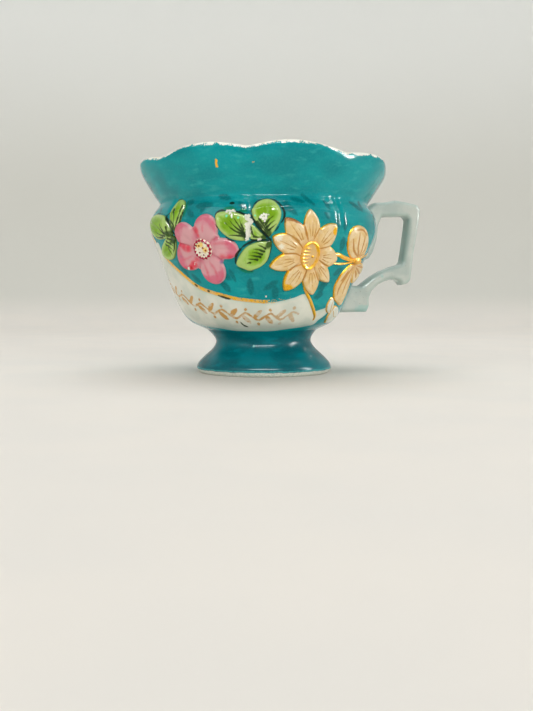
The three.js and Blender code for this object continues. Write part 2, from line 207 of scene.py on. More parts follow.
def give_fields(obj, **fields):
    """Stores what the material paints by, one number for each vertex."""
    for name, values in fields.items():
        attribute = obj.data.attributes.new(name, "FLOAT", "POINT")
        attribute.data.foreach_set("value", np.asarray(values, np.float32))


def finish_piece(obj, material, slot, *nodes):
    obj.data.materials.append(material)
    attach(obj, "root")
    if nodes:
        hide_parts(*nodes)
    return obj


# ---------------------------------------------------------------------------------- lines on the wall


def spline(places, steps, closed):
    """A Catmull-Rom curve through places, with the same number of steps between each two."""
    p = np.asarray(places, float)
    if closed:
        before, start, end, after = np.roll(p, 1, 0), p, np.roll(p, -1, 0), np.roll(p, -2, 0)
    else:
        padded = np.concatenate([p[:1], p, p[-1:]])
        before, start, end, after = padded[:-3], padded[1:-2], padded[2:-1], padded[3:]
    t = (np.arange(steps) / steps)[None, :, None]
    a, b, c, d = (q[:, None, :] for q in (before, start, end, after))
    curve = 0.5 * (2 * b + (c - a) * t + (2 * a - 5 * b + 4 * c - d) * t**2 + (3 * b - a - 3 * c + d) * t**3)
    curve = curve.reshape(-1, 2)
    return curve if closed else np.concatenate([curve, p[-1:]])


def flat(angle, height, around):
    """Places near one height, as millimetres across and up."""
    return np.stack([np.radians(angle) * cup_radius(around), height], -1)


def along_line(points, line):
    """Distance of each point from a line, and how far along the line it is nearest, from 0 to 1."""
    lengths = np.hypot(*np.diff(line, axis=0).T)
    passed = np.concatenate([[0], np.cumsum(lengths)]) / max(lengths.sum(), 1e-6)
    nearest = np.full(len(points), 1e9)
    share = np.zeros(len(points))
    for k, (start, end) in enumerate(zip(line[:-1], line[1:])):
        step = end - start
        t = np.clip((points - start) @ step / max(step @ step, 1e-9), 0, 1)
        distance = np.hypot(*(points - start - t[:, None] * step).T)
        closer = distance < nearest
        nearest = np.where(closer, distance, nearest)
        share = np.where(closer, passed[k] + t * (passed[k + 1] - passed[k]), share)
    return nearest, share


def inside_by(points, loop):
    """How far each point lies inside a closed line, negative outside."""
    distance, _ = along_line(points, np.concatenate([loop, loop[:1]]))
    inside = np.zeros(len(points), bool)
    for start, end in zip(loop, np.roll(loop, -1, 0)):
        crosses = (start[1] > points[:, 1]) != (end[1] > points[:, 1])
        rise = end[1] - start[1] if end[1] != start[1] else 1e-9
        at = start[0] + (points[:, 1] - start[1]) * (end[0] - start[0]) / rise
        inside ^= crosses & (points[:, 0] < at)
    return np.where(inside, distance, -distance)


EVEN, TAPERED, POINTED = "even", "tapered", "pointed"
TAPERS = {
    EVEN: lambda share: np.ones_like(share),
    TAPERED: lambda share: 0.35 + 0.65 * np.clip(np.sin(np.pi * share), 0, 1) ** 0.6,
    POINTED: lambda share: 1 - 0.85 * share,
}
FAR_OUTSIDE = -9.0


def strokes(angle, height, routes):
    """How far each place lies inside a set of brush strokes, in mm.

    A stroke is (places, half width, taper)."""
    field = np.full(len(angle), FAR_OUTSIDE)
    margin_up, margin_aside = 3.0, 5.0
    for places, half_width, taper in routes:
        route = spline(places, 5, closed=False) if len(places) > 2 else np.asarray(places, float)
        low, high = route.min(0), route.max(0)
        near = (np.abs(height - (low[1] + high[1]) / 2) < (high[1] - low[1]) / 2 + margin_up) & (
            np.abs(angle - (low[0] + high[0]) / 2) < (high[0] - low[0]) / 2 + margin_aside
        )
        if not near.any():
            continue
        middle = route[:, 1].mean()
        distance, share = along_line(flat(angle[near], height[near], middle), flat(*route.T, middle))
        field[near] = np.maximum(field[near], half_width * TAPERS[taper](share) - distance)
    return field


def tapered(routes):
    """Brush strokes that thin toward both ends, from (places, half width)."""
    return [(places, half_width, TAPERED) for places, half_width in routes]


def blobs(angle, height, places):
    """How far each place lies inside a set of round spots, in mm. A spot is (angle, height, radius)."""
    field = np.full(len(angle), FAR_OUTSIDE)
    for spot_angle, spot_height, radius in places:
        away = np.hypot(np.radians(angle - spot_angle) * cup_radius(spot_height), height - spot_height)
        field = np.maximum(field, radius - away)
    return field


def soft_spots(angle, height, places):
    """Soft round patches of paint, 0 to 1. A patch is (angle, height, radius, strength)."""
    total = np.zeros(len(angle))
    for spot_angle, spot_height, radius, strength in places:
        away = np.hypot(np.radians(angle - spot_angle) * cup_radius(spot_height), height - spot_height)
        total = np.maximum(total, strength * bell(away, radius))
    return total


# ---------------------------------------------------------------------------------- painting by hand

# Black-green outlines that run over the wall and the leaves' edges.
INK = tapered([
    ([(-75.6, 58.7), (-72.2, 59.5), (-66.0, 59.8), (-60.8, 59.7), (-56.5, 59.1)], 0.2),
    ([(-55.0, 58.8), (-53.5, 57.2), (-51.5, 55.1), (-49.4, 53.1), (-47.7, 51.1), (-46.4, 49.3)], 0.5),
    ([(-54.4, 57.9), (-52.5, 59.5), (-50.4, 60.8), (-48.1, 62.0), (-46.9, 63.3), (-46.8, 64.3)], 0.24),
    ([(-41.1, 59.0), (-42.7, 55.5), (-45.4, 53.0)], 0.18),
    ([(-22.5, 56.5), (-21.6, 58.0), (-20.0, 58.7), (-17.4, 58.6)], 0.42),
    ([(-13.7, 58.4), (-11.2, 57.9), (-9.1, 57.3), (-6.9, 57.0)], 0.4),
    ([(-22.0, 54.2), (-20.6, 52.0), (-18.9, 50.4), (-16.5, 49.1), (-13.9, 48.4), (-9.6, 48.3)], 0.17),
    ([(-6.0, 57.3), (-4.9, 55.4), (-3.1, 53.8), (-1.3, 52.1), (0.5, 50.6), (1.9, 49.5), (3.4, 48.9)], 0.62),
    ([(-5.9, 57.2), (-5.8, 58.6), (-4.9, 60.1), (-3.4, 61.5), (-1.4, 62.3), (1.2, 62.6), (3.7, 62.6)], 0.22),
    ([(3.7, 62.5), (5.8, 61.7), (7.6, 60.3), (8.9, 58.7), (9.2, 57.3), (8.9, 55.9), (7.6, 54.4)], 0.42),
    ([(7.6, 54.6), (6.4, 52.9), (4.8, 51.4)], 0.2),
    ([(3.2, 48.6), (-0.5, 48.7), (-3.7, 48.5), (-6.6, 47.9), (-9.0, 47.1), (-11.3, 45.9)], 0.45),
    ([(-10.4, 46.5), (-13.2, 44.3), (-14.5, 42.5), (-14.9, 40.8)], 0.42),
    ([(4.2, 48.1), (3.5, 46.2), (2.8, 44.0), (1.5, 41.6), (-0.9, 39.9)], 0.17),
    ([(-14.6, 40.0), (-11.1, 38.8), (-8.0, 38.1), (-5.3, 38.4)], 0.15),
    ([(-7.0, 49.3), (-5.4, 48.9), (-1.5, 48.9)], 0.3),
    ([(-16.0, 61.2), (-13.9, 61.2)], 0.5),
    ([(-28.5, 29.9), (-23.6, 29.0), (-20.0, 28.5)], 0.42),
    ([(-44.0, 33.9), (-41.6, 33.0)], 0.4),
    ([(-35.6, 31.6), (-33.4, 31.2)], 0.42),
    ([(45.0, 49.0), (46.4, 47.2)], 0.5),
    ([(30.4, 31.2), (32.0, 30.4)], 0.35),
    ([(47.3, 34.0), (48.0, 35.8), (49.2, 37.9)], 0.26),
])

# Green colour that strayed from the leaves into the ground.
STRAY_GREEN = tapered([
    ([(-18.4, 59.2), (-15.5, 59.4), (-12.6, 59.0)], 0.7),
    ([(-10.9, 58.3), (-9.4, 58.6), (-7.7, 58.2)], 0.7),
    ([(-40.6, 62.9), (-40.0, 60.4), (-40.6, 57.6)], 0.6),
    ([(-46.6, 49.3), (-45.6, 47.4)], 0.5),
    ([(-53.6, 50.2), (-57.6, 49.8)], 0.6),
    ([(-14.5, 39.6), (-10.0, 38.2), (-5.6, 38.0)], 0.5),
])

# Chips and worn places where the white body shows.
CHIPS = [
    (-16.6, 58.3, 0.62), (-15.4, 58.5, 0.55), (-14.1, 58.5, 0.55), (-13.3, 58.2, 0.45), (-15.0, 57.6, 0.45),
    (-14.3, 56.8, 0.42), (-14.2, 56.2, 0.3), (-8.0, 56.7, 0.55), (-6.9, 56.8, 0.6), (-7.4, 55.7, 0.75),
    (-6.2, 55.2, 0.7), (-5.5, 54.6, 0.6), (-6.6, 54.0, 0.75), (-7.8, 54.0, 0.55), (-7.3, 52.9, 0.8),
    (-7.1, 51.6, 0.85), (-7.2, 50.4, 0.85), (-7.8, 49.2, 0.6), (-8.4, 48.5, 0.35), (-1.5, 56.1, 0.42),
    (-0.8, 56.5, 0.45), (0.0, 56.9, 0.4), (1.0, 56.8, 0.42), (2.2, 56.9, 0.26), (0.7, 55.9, 0.6),
    (-0.3, 55.7, 0.6), (0.3, 55.0, 0.42), (-2.4, 48.9, 0.5), (-1.6, 49.0, 0.48), (-8.2, 59.6, 0.3),
    (-42.8, 39.8, 0.45), (-42.0, 40.2, 0.35), (-37.6, 41.2, 0.25), (-36.8, 42.0, 0.22), (1.4, 29.5, 0.35),
]

# Darker leaf-shaped strokes in the teal ground, some hidden behind the pressed flowers.
BRUSHED = [
    ([(12.9, 63.0), (18.6, 61.7)], 0.9), ([(8.9, 61.2), (14.7, 57.2)], 1.1),
    ([(18.6, 64.5), (24.0, 60.6)], 0.9),
    ([(30.2, 62.6), (32.1, 59.7)], 1.0), ([(29.2, 58.3), (31.2, 56.2)], 0.8),
    ([(41.0, 57.2), (41.5, 52.6)], 0.9),
    ([(48.3, 63.1), (55.0, 60.7)], 1.2), ([(58.3, 63.8), (55.5, 60.3)], 1.1),
    ([(35.8, 57.6), (37.8, 52.7)], 0.9),
    ([(-22.1, 64.1), (-16.4, 62.8)], 1.1), ([(-11.7, 61.3), (-8.3, 59.2)], 0.9),
    ([(-27.7, 61.3), (-30.2, 58.6)], 1.0),
    ([(-33.3, 60.8), (-24.5, 60.8)], 1.2), ([(-41.0, 62.6), (-36.0, 62.0)], 1.1),
    ([(-38.5, 59.6), (-34.0, 57.0)], 1.0),
    ([(-24.6, 34.5), (-20.2, 31.3)], 1.2), ([(-7.9, 35.4), (-7.7, 30.3)], 1.25),
    ([(0.2, 31.9), (7.5, 34.9)], 1.0),
    ([(6.4, 33.0), (6.9, 28.9)], 1.2), ([(-24.0, 38.0), (-18.6, 35.4)], 0.9),
    ([(-18.6, 38.8), (-16.2, 35.0)], 0.8),
    ([(-50.8, 41.4), (-46.6, 36.4)], 0.9), ([(-43.8, 37.2), (-38.5, 34.4)], 0.9),
    ([(-52.5, 43.0), (-50.2, 39.0)], 0.8),
    ([(43.2, 37.4), (49.0, 39.6)], 1.2), ([(41.6, 50.0), (43.0, 45.8)], 1.3),
    ([(33.6, 32.2), (41.0, 34.6)], 1.2),
    ([(33.0, 29.1), (39.4, 30.4)], 1.0), ([(38.2, 33.4), (36.0, 28.6)], 1.1),
    ([(10.5, 62.0), (9.6, 58.0)], 0.8),
    ([(-66.0, 62.0), (-62.0, 60.6)], 0.8), ([(70.5, 60.0), (74.0, 55.5)], 1.0),
    ([(76.0, 47.0), (80.0, 42.0)], 1.1),
]
BRUSHED_BEHIND = [
    ([(angle, height), (angle + 5, height - 3.6 * side)], 1.1)
    for angle, height, side in zip(
        range(96, 276, 13), (60, 52, 61, 44, 56, 38, 62, 48, 33, 58, 42, 60, 50, 55), (1, -1) * 7,
    )
]

# The white ribbon round the front, low on the body. It ends in a fold at the left.
RIBBON = [
    (-67.5, 48.6), (-66.4, 44.4), (-59.5, 40.7), (-51.7, 37.1), (-42.5, 33.0), (-34.2, 31.0), (-25.5, 29.6),
    (-17.4, 28.4), (-9.4, 27.8), (-3.2, 27.4), (3.0, 27.3), (9.4, 27.8), (15.7, 28.6), (20.5, 29.4),
    (25.4, 30.4), (29.4, 28.4), (33.4, 26.0), (37.0, 24.2), (42.0, 24.7), (47.0, 25.4), (49.4, 27.0),
    (52.6, 24.6), (49.5, 22.2), (46.2, 20.8), (45.0, 19.2), (41.0, 18.7), (32.0, 18.1), (23.5, 17.7),
    (8.5, 16.9), (-6.6, 16.4), (-18.0, 16.6), (-29.7, 16.9), (-42.0, 17.6), (-54.7, 18.2), (-64.6, 18.4),
    (-74.0, 21.4), (-82.0, 26.0), (-91.0, 36.0), (-97.5, 50.0), (-92.0, 58.0), (-84.0, 57.0), (-79.0, 53.6),
    (-72.5, 49.8), (-69.2, 49.6),
]
RIBBON_TOP = [
    (-67.0, 44.9), (-59.5, 41.1), (-51.7, 37.5), (-42.5, 33.3), (-34.2, 31.3), (-25.5, 29.9), (-17.4, 28.7),
    (-9.4, 28.1), (-3.2, 27.75), (3.0, 27.65), (9.4, 28.1), (15.7, 28.9), (20.5, 29.7), (24.8, 30.6),
]
RIBBON_FOLD = [(-72.5, 49.8), (-79.0, 53.6), (-84.0, 57.0), (-92.0, 58.0)]


VINE_ENDS = (-80, 24)
VINE_PITCH = 8
VINE_SWING = 1.2
VINE_LEAF = [(-3.0, 0.3), (-0.6, -0.9), (2.2, -2.3)]  # from the bend that it grows in


def ribbon_middle(angle):
    """Height of the middle of the ribbon."""
    return 22.1 + 0.0019 * angle**2


def worn_vine():
    """Worn gilding along the ribbon: an even wavy vine with a leaf in every bend and a berry over it."""
    first, last = VINE_ENDS
    stem = []
    for angle in range(first, last + 1, VINE_PITCH // 2):
        swing = VINE_SWING * math.sin(math.pi * (angle - first) / VINE_PITCH)
        stem.append((angle, ribbon_middle(angle) + swing))
    leaves, berries = [], []
    for bend, angle in enumerate(range(first + VINE_PITCH // 2, last, VINE_PITCH)):
        side = 1 - 2 * (bend % 2)
        middle = ribbon_middle(angle)
        leaf = [(angle + along, middle + rise * side) for along, rise in VINE_LEAF]
        leaves.append((leaf, 0.8, TAPERED))
        berries.append((angle, middle + 2.5 * side, 0.55))
    return [(stem, 0.34, EVEN), *leaves], berries


VINE, VINE_BERRIES = worn_vine()
GREEN_DABS = tapered([([(-17.6, 20.4), (-15.6, 19.0), (-12.8, 18.5)], 0.33)])
GILT_SPOTS = [(-20.3, 75.4, 0.5), (-20.6, 74.5, 0.42), (-20.5, 73.6, 0.55), (-4.5, 75.0, 0.3)]


def paint_fields(angle, height):
    """Outlines and chips that run across the wall and the painted pieces on it."""
    return {"ink": strokes(angle, height, INK), "chip": blobs(angle, height, CHIPS)}


def wall_fields(angle, height):
    """The painting that only the wall has. Places are (angle, height)."""
    angle, height = np.asarray(angle, float), np.asarray(height, float)
    angle = (angle + 180) % 360 - 180
    fields = paint_fields(angle, height)
    middle = 28
    ribbon = flat(*spline(RIBBON, 3, closed=True).T, middle)
    field = np.full(len(angle), FAR_OUTSIDE)
    near = (angle > -110) & (angle < 66) & (height < 64)
    field[near] = inside_by(flat(angle[near], height[near], middle), ribbon)
    fields["ribbon"] = field
    fields["stray"] = strokes(angle, height, STRAY_GREEN)
    fields["border"] = strokes(angle, height, [(RIBBON_TOP, 0.62, EVEN), (RIBBON_FOLD, 0.5, EVEN)])
    fields["vine"] = np.maximum(strokes(angle, height, VINE), blobs(angle, height, VINE_BERRIES))
    fields["dab"] = strokes(angle, height, GREEN_DABS)
    fields["gilt"] = blobs(angle, height, GILT_SPOTS)
    in_front = strokes(angle, height, tapered(BRUSHED))
    behind = strokes(angle % 360, height, tapered(BRUSHED_BEHIND))
    fields["brushed"] = np.maximum(in_front, behind)
    return fields


# ---------------------------------------------------------------------------------- materials


def srgb(red, green, blue):
    """A colour given as screen values from 0 to 255, as the linear values that shaders use."""
    values = (v / 255 for v in (red, green, blue))
    return [v / 12.92 if v <= 0.04045 else ((v + 0.055) / 1.055) ** 2.4 for v in values] + [1.0]


class Paint:
    """A material made of layers of colour laid over each other."""

    def __init__(self, name):
        self.material = bpy.data.materials.new(name)
        self.material.use_nodes = True
        self.tree = self.material.node_tree
        self.tree.nodes.clear()
        self.output = self.tree.nodes.new("ShaderNodeOutputMaterial")
        self.shader = self.tree.nodes.new("ShaderNodeBsdfPrincipled")
        self.tree.links.new(self.shader.outputs["BSDF"], self.output.inputs["Surface"])
        self.position = self.tree.nodes.new("ShaderNodeTexCoord").outputs["Object"]

    def feed(self, socket, value):
        if isinstance(value, bpy.types.NodeSocket):
            self.tree.links.new(value, socket)
        else:
            socket.default_value = value

    def field(self, name):
        node = self.tree.nodes.new("ShaderNodeAttribute")
        node.attribute_name = name
        return node.outputs["Fac"]

    def noise(self, size, detail=3.0, stretch=(1, 1, 1), shift=0.0):
        """Cloudy noise, about 0.5 on average, with features of about a size in millimetres."""
        mapping = self.tree.nodes.new("ShaderNodeMapping")
        self.tree.links.new(self.position, mapping.inputs["Vector"])
        mapping.inputs["Scale"].default_value = [1 / s for s in stretch]
        mapping.inputs["Location"].default_value = (shift, shift / 2, -shift)
        node = self.tree.nodes.new("ShaderNodeTexNoise")
        self.tree.links.new(mapping.outputs["Vector"], node.inputs["Vector"])
        node.inputs["Scale"].default_value = 1 / (size * MM)
        node.inputs["Detail"].default_value = detail
        return node.outputs["Fac"]

    def math(self, operation, first, second=0.0):
        node = self.tree.nodes.new("ShaderNodeMath")
        node.operation = operation
        self.feed(node.inputs[0], first)
        self.feed(node.inputs[1], second)
        return node.outputs[0]

    def between(self, value, low, high, start=0.0, end=1.0):
        """A smooth step from start to end as the value goes from low to high."""
        node = self.tree.nodes.new("ShaderNodeMapRange")
        node.interpolation_type = "SMOOTHSTEP"
        self.feed(node.inputs["Value"], value)
        for name, number in zip(("From Min", "From Max", "To Min", "To Max"), (low, high, start, end)):
            self.feed(node.inputs[name], number)
        return node.outputs["Result"]

    def wavered(self, value, noise, amount):
        """A value that a noise moves up and down, by half the amount each way."""
        return self.math("ADD", value, self.math("MULTIPLY", self.math("SUBTRACT", noise, 0.5), amount))

    def ragged(self, field, noise, reach, soft=0.12):
        """1 inside a painted edge, whose line wavers by a noise."""
        return self.between(self.wavered(field, noise, 2 * reach), -soft, soft)

    def mix(self, amount, below, above, share=1.0):
        """One colour over another, at most by a share."""
        if share < 1.0:
            amount = self.math("MULTIPLY", amount, share)
        node = self.tree.nodes.new("ShaderNodeMix")
        node.data_type = "RGBA"
        self.feed(node.inputs["Factor"], amount)
        self.feed(node.inputs["A"], below)
        self.feed(node.inputs["B"], above)
        for socket in node.outputs:
            if socket.type == "RGBA":
                return socket

    def mix_value(self, amount, below, above):
        return self.between(amount, 0.0, 1.0, below, above)

    def both(self, first, second):
        return self.math("MULTIPLY", first, second)

    def either(self, first, second):
        return self.math("MAXIMUM", first, second)

    def finish(self, colour, roughness, metallic=0.0, bump=None, specular=0.3):
        shader = self.shader
        self.feed(shader.inputs["Base Color"], colour)
        self.feed(shader.inputs["Roughness"], roughness)
        self.feed(shader.inputs["Metallic"], metallic)
        shader.inputs["IOR"].default_value = 1.5
        shader.inputs["Specular IOR Level"].default_value = specular
        if bump is not None:
            node = self.tree.nodes.new("ShaderNodeBump")
            node.inputs["Strength"].default_value = 1.0
            node.inputs["Distance"].default_value = BUMP_HEIGHT * MM
            self.feed(node.inputs["Height"], bump)
            self.tree.links.new(node.outputs["Normal"], shader.inputs["Normal"])
        return self.material


BUMP_HEIGHT = 0.05  # how far a bump of 1 stands up
CHIP_DEPTH = 1.6  # of a chip's bump, against that of the glaze
STUDIO_LEVEL = 0.8  # share of a colour's own brightness that it shows in this light


def seen(red, green, blue):
    """The glaze colour that shows as the given screen values when it stands in the studio's light."""
    return [min(value / STUDIO_LEVEL, 0.96) for value in srgb(red, green, blue)[:3]] + [1.0]


TEAL = seen(0, 141, 146)
TEAL_DEEP = seen(0, 124, 130)
TEAL_HAZE = seen(52, 168, 166)
TEAL_STROKE = seen(0, 94, 98)
# The foot's teal is darker than the bowl's: partly its own deeper paint, partly painted shade of its
# downward-facing side.
FOOT_TEAL_WITH_SHADE = seen(0, 110, 120)
FOOT_DEEP_WITH_SHADE = seen(0, 86, 96)
PORCELAIN = seen(209, 210, 198)
PORCELAIN_GREY = seen(193, 198, 186)
LIP_CREAM = seen(222, 221, 210)
INK_GREEN = srgb(12, 34, 14)
GOLD = seen(236, 172, 44)
GOLD_PALE = seen(216, 176, 106)
GOLD_DARK = seen(180, 128, 50)
GOLD_FLECK = srgb(96, 74, 30)


def glaze_bump(paint):
    """Faint orange-peel of a glaze that pooled as it melted."""
    slow = paint.noise(3.2, 1.0)
    fine = paint.noise(0.9, 2.0, shift=3.0)
    return paint.math("ADD", slow, paint.math("MULTIPLY", fine, 0.18))


def teal_ground(paint, light, deep, haze):
    """Teal laid on with a broad brush: streaks run round the mug, with thinner, paler places."""
    broad = paint.noise(13, 3.0, stretch=(1.6, 1.6, 0.7))
    streaks = paint.noise(2.6, 4.0, stretch=(2.4, 2.4, 0.8), shift=5.0)
    fine = paint.noise(0.7, 3.0, shift=9.0)
    colour = paint.mix(paint.between(broad, 0.38, 0.62), deep, light)
    colour = paint.mix(paint.between(streaks, 0.54, 0.74, 0.0, 0.42), colour, haze)
    return paint.mix(paint.between(fine, 0.35, 0.75, 0.0, 0.14), colour, haze)


def worn_gold(paint):
    """Gilding rubbed to tan in places, with darker flecks."""
    grain = paint.noise(0.55, 4.0, shift=2.0)
    patches = paint.noise(2.4, 3.0, shift=7.0)
    colour = paint.mix(paint.between(patches, 0.42, 0.6), GOLD, GOLD_PALE)
    return paint.mix(paint.between(grain, 0.56, 0.7, 0.0, 0.75), colour, GOLD_DARK)


def bowl_material():
    paint = Paint("bowl_glaze")
    wobble = paint.noise(1.3, 3.0, shift=1.0)
    fine = paint.noise(0.5, 4.0, shift=4.0)
    coarse = paint.noise(3.0, 4.0, shift=6.0)
    colour = teal_ground(paint, TEAL, TEAL_DEEP, TEAL_HAZE)

    # Brush strokes, each with the hairs' streaks in it.
    brushed = paint.ragged(paint.field("brushed"), wobble, 0.5, soft=0.45)
    brushed = paint.both(brushed, paint.between(fine, 0.2, 0.7, 0.45, 0.9))
    colour = paint.mix(brushed, colour, TEAL_STROKE)

    stray = paint.ragged(paint.field("stray"), wobble, 0.3, soft=0.35)
    colour = paint.mix(stray, colour, seen(4, 110, 44), share=0.7)

    # The white ribbon, a little greyer where teal has run under its edge.
    ribbon_field = paint.field("ribbon")
    ribbon = paint.ragged(ribbon_field, wobble, 0.12)
    cloud = paint.between(paint.noise(6, 2.0, shift=8.0), 0.35, 0.65)
    white = paint.mix(cloud, PORCELAIN_GREY, PORCELAIN)
    stained = paint.between(ribbon_field, 0.1, 1.4, 0.4, 0.0)
    white = paint.mix(stained, white, seen(150, 184, 172))
    colour = paint.mix(ribbon, colour, white)

    # Gold border: solid at the left, flaking to grains towards the right.
    wear = paint.field("wear")
    flakes = paint.between(paint.math("SUBTRACT", fine, wear), 0.3, 0.42)
    border = paint.both(paint.ragged(paint.field("border"), wobble, 0.12), flakes)
    vine = paint.ragged(paint.field("vine"), wobble, 0.42, soft=0.2)
    vine = paint.both(vine, paint.between(coarse, 0.34, 0.5, 0.4, 1.0))
    vine = paint.both(vine, paint.between(wear, 0.1, 0.34, 1.0, 0.6))
    spots = paint.ragged(paint.field("gilt"), fine, 0.3)
    gold = worn_gold(paint)
    fleck = paint.both(paint.between(paint.noise(0.45, 2.0, shift=11.0), 0.58, 0.66), wear)
    colour = paint.mix(vine, colour, seen(190, 146, 82))
    colour = paint.mix(border, colour, paint.mix(fleck, gold, GOLD_FLECK))
    colour = paint.mix(spots, colour, GOLD)

    dab = paint.ragged(paint.field("dab"), wobble, 0.2)
    ink = paint.ragged(paint.field("ink"), wobble, 0.25)
    colour = paint.mix(dab, colour, seen(44, 58, 14))
    colour = paint.mix(ink, colour, INK_GREEN, share=0.93)
    chip = paint.ragged(paint.field("chip"), fine, 0.5, soft=0.06)
    colour = paint.mix(chip, colour, LIP_CREAM)

    # The lip is bare of teal, along a ragged line, and the inside is white.
    below_rim = paint.field("below_rim")
    lip_line = paint.wavered(paint.wavered(below_rim, coarse, 2.4), fine, 2.1)
    lip = paint.between(lip_line, 0.9, 1.05, 1.0, 0.0)
    cream = paint.mix(paint.between(coarse, 0.5, 0.62, 0.0, 0.5), LIP_CREAM, seen(205, 188, 152))
    inner = paint.mix(cloud, seen(217, 218, 209), seen(221, 222, 212))
    colour = paint.mix(lip, colour, cream)
    colour = paint.mix(paint.between(below_rim, -1.6, -2.4), colour, inner)

    metal = paint.either(border, paint.either(paint.math("MULTIPLY", vine, 0.4), spots))
    roughness = paint.mix_value(metal, 0.14, 0.34)
    height = paint.math("ADD", glaze_bump(paint), paint.math("MULTIPLY", brushed, 0.25))
    height = paint.math("ADD", height, paint.math("MULTIPLY", metal, 0.5))
    height = paint.math("SUBTRACT", height, paint.math("MULTIPLY", chip, CHIP_DEPTH))
    return paint.finish(colour, roughness, paint.math("MULTIPLY", metal, 0.55), height, specular=0.19)


def foot_material():
    paint = Paint("foot_glaze")
    # The foot's darker teal holds painted shade as well as its own colour.
    colour = teal_ground(paint, FOOT_TEAL_WITH_SHADE, FOOT_DEEP_WITH_SHADE, seen(0, 132, 142))
    height = paint.field("height")
    fine = paint.noise(0.6, 4.0, shift=4.0)
    wobble = paint.noise(4.0, 3.0, shift=1.0)
    edge = paint.wavered(height, wobble, 1.0)
    # Painted highlight: a broken paler teal line round the foot's rounded edge just above the ring.
    painted_highlight_line = paint.both(paint.between(edge, 1.7, 2.0), paint.between(edge, 2.5, 2.1))
    painted_highlight_line = paint.both(painted_highlight_line, paint.between(fine, 0.3, 0.6, 0.2, 0.75))
    colour = paint.mix(painted_highlight_line, colour, seen(70, 170, 172))
    ring = paint.between(edge, 1.85, 1.45)
    stained = paint.mix(paint.between(fine, 0.4, 0.7), seen(206, 208, 198), seen(176, 188, 180))
    colour = paint.mix(ring, colour, stained)
    colour = paint.mix(paint.ragged(paint.field("chip"), fine, 0.15), colour, seen(120, 190, 186))
    colour = paint.mix(paint.field("hollow"), colour, seen(206, 206, 196))
    roughness = paint.mix_value(ring, 0.24, 0.34)
    return paint.finish(colour, roughness, bump=glaze_bump(paint), specular=0.17)


def handle_material():
    paint = Paint("handle_glaze")
    cloud = paint.between(paint.noise(7, 3.0), 0.35, 0.65)
    colour = paint.mix(cloud, seen(170, 179, 172), seen(188, 192, 184))
    # Painted shade: darker greenish grey along the handle's rounded edges.
    painted_edge_shade = paint.between(paint.field("edge"), 0.2, 1.6, 0.5, 0.0)
    colour = paint.mix(painted_edge_shade, colour, seen(152, 172, 164))
    wobble = paint.noise(1.2, 4.0, shift=2.0)
    smear = paint.ragged(paint.field("smear"), wobble, 0.9, soft=0.5)
    colour = paint.mix(smear, colour, seen(90, 178, 172), share=0.3)
    speck = paint.between(paint.noise(0.8, 0.0, shift=12.0), 0.8, 0.83, 0.0, 0.35)
    colour = paint.mix(speck, colour, seen(120, 112, 92))
    return paint.finish(colour, 0.12, bump=glaze_bump(paint))


def over_paint(paint, colour, wobble, fine):
    """The outlines and chips that run across every pressed piece."""
    ink = paint.ragged(paint.field("ink"), wobble, 0.25)
    colour = paint.mix(ink, colour, INK_GREEN, share=0.95)
    chip = paint.ragged(paint.field("chip"), fine, 0.5, soft=0.06)
    return paint.mix(chip, colour, LIP_CREAM), chip


def leaf_material():
    paint = Paint("leaf_enamel")
    wobble = paint.noise(1.1, 3.0, shift=1.0)
    fine = paint.noise(0.45, 3.0, shift=4.0)
    streaks = paint.noise(1.6, 3.0, stretch=(0.6, 0.6, 2.0), shift=2.0)
    tone = paint.wavered(paint.field("tone"), streaks, 0.7)
    colour = paint.mix(paint.between(tone, 0.15, 0.55), seen(160, 188, 104), seen(132, 172, 56))
    colour = paint.mix(paint.between(tone, 0.55, 0.95), colour, seen(112, 156, 12))
    shade = paint.wavered(paint.field("shade"), wobble, 0.5)
    colour = paint.mix(paint.between(shade, 0.2, 0.7, 0.0, 0.92), colour, seen(30, 66, 4))
    vein = paint.ragged(paint.field("vein"), wobble, 0.2, soft=0.14)
    colour = paint.mix(vein, colour, seen(16, 44, 2), share=0.92)
    rim = paint.between(paint.field("edge"), 0.0, 0.35, 0.7, 0.0)
    colour = paint.mix(rim, colour, seen(66, 104, 40))
    drops = paint.ragged(paint.field("drop"), wobble, 0.15)
    colour = paint.mix(drops, colour, seen(120, 222, 170))
    colour, chip = over_paint(paint, colour, wobble, fine)
    bump = paint.math("SUBTRACT", glaze_bump(paint), paint.math("MULTIPLY", chip, CHIP_DEPTH))
    return paint.finish(colour, paint.mix_value(chip, 0.12, 0.35), bump=bump)


def petal_material():
    paint = Paint("petal_enamel")
    wobble = paint.noise(1.1, 3.0, shift=1.0)
    fine = paint.noise(0.4, 3.0, shift=4.0)
    cloud = paint.noise(2.4, 3.0, shift=2.0)
    pale, pink, rose = seen(201, 148, 153), seen(195, 106, 124), seen(198, 74, 98)
    tone = paint.wavered(paint.field("tone"), cloud, 0.8)
    colour = paint.mix(paint.between(tone, 0.1, 0.6), pale, pink)
    colour = paint.mix(paint.between(tone, 0.6, 1.1), colour, rose)
    streak = paint.ragged(paint.field("vein"), wobble, 0.4, soft=0.5)
    colour = paint.mix(streak, colour, rose, share=0.5)
    blush = paint.wavered(paint.field("shade"), fine, 0.25)
    colour = paint.mix(paint.between(blush, 0.15, 0.8, 0.0, 0.95), colour, seen(205, 58, 76))
    colour = paint.mix(paint.between(blush, 0.85, 1.2), colour, seen(178, 8, 10))
    colour = paint.mix(paint.between(paint.field("edge"), 0.1, 0.7, 0.45, 0.0), colour, seen(222, 196, 196))
    under = paint.between(paint.field("under"), 0.2, 0.9, 0.0, 0.75)
    colour = paint.mix(under, colour, seen(112, 92, 140))
    colour, chip = over_paint(paint, colour, wobble, fine)
    bump = paint.math("SUBTRACT", glaze_bump(paint), paint.math("MULTIPLY", chip, CHIP_DEPTH))
    return paint.finish(colour, 0.12, bump=bump)


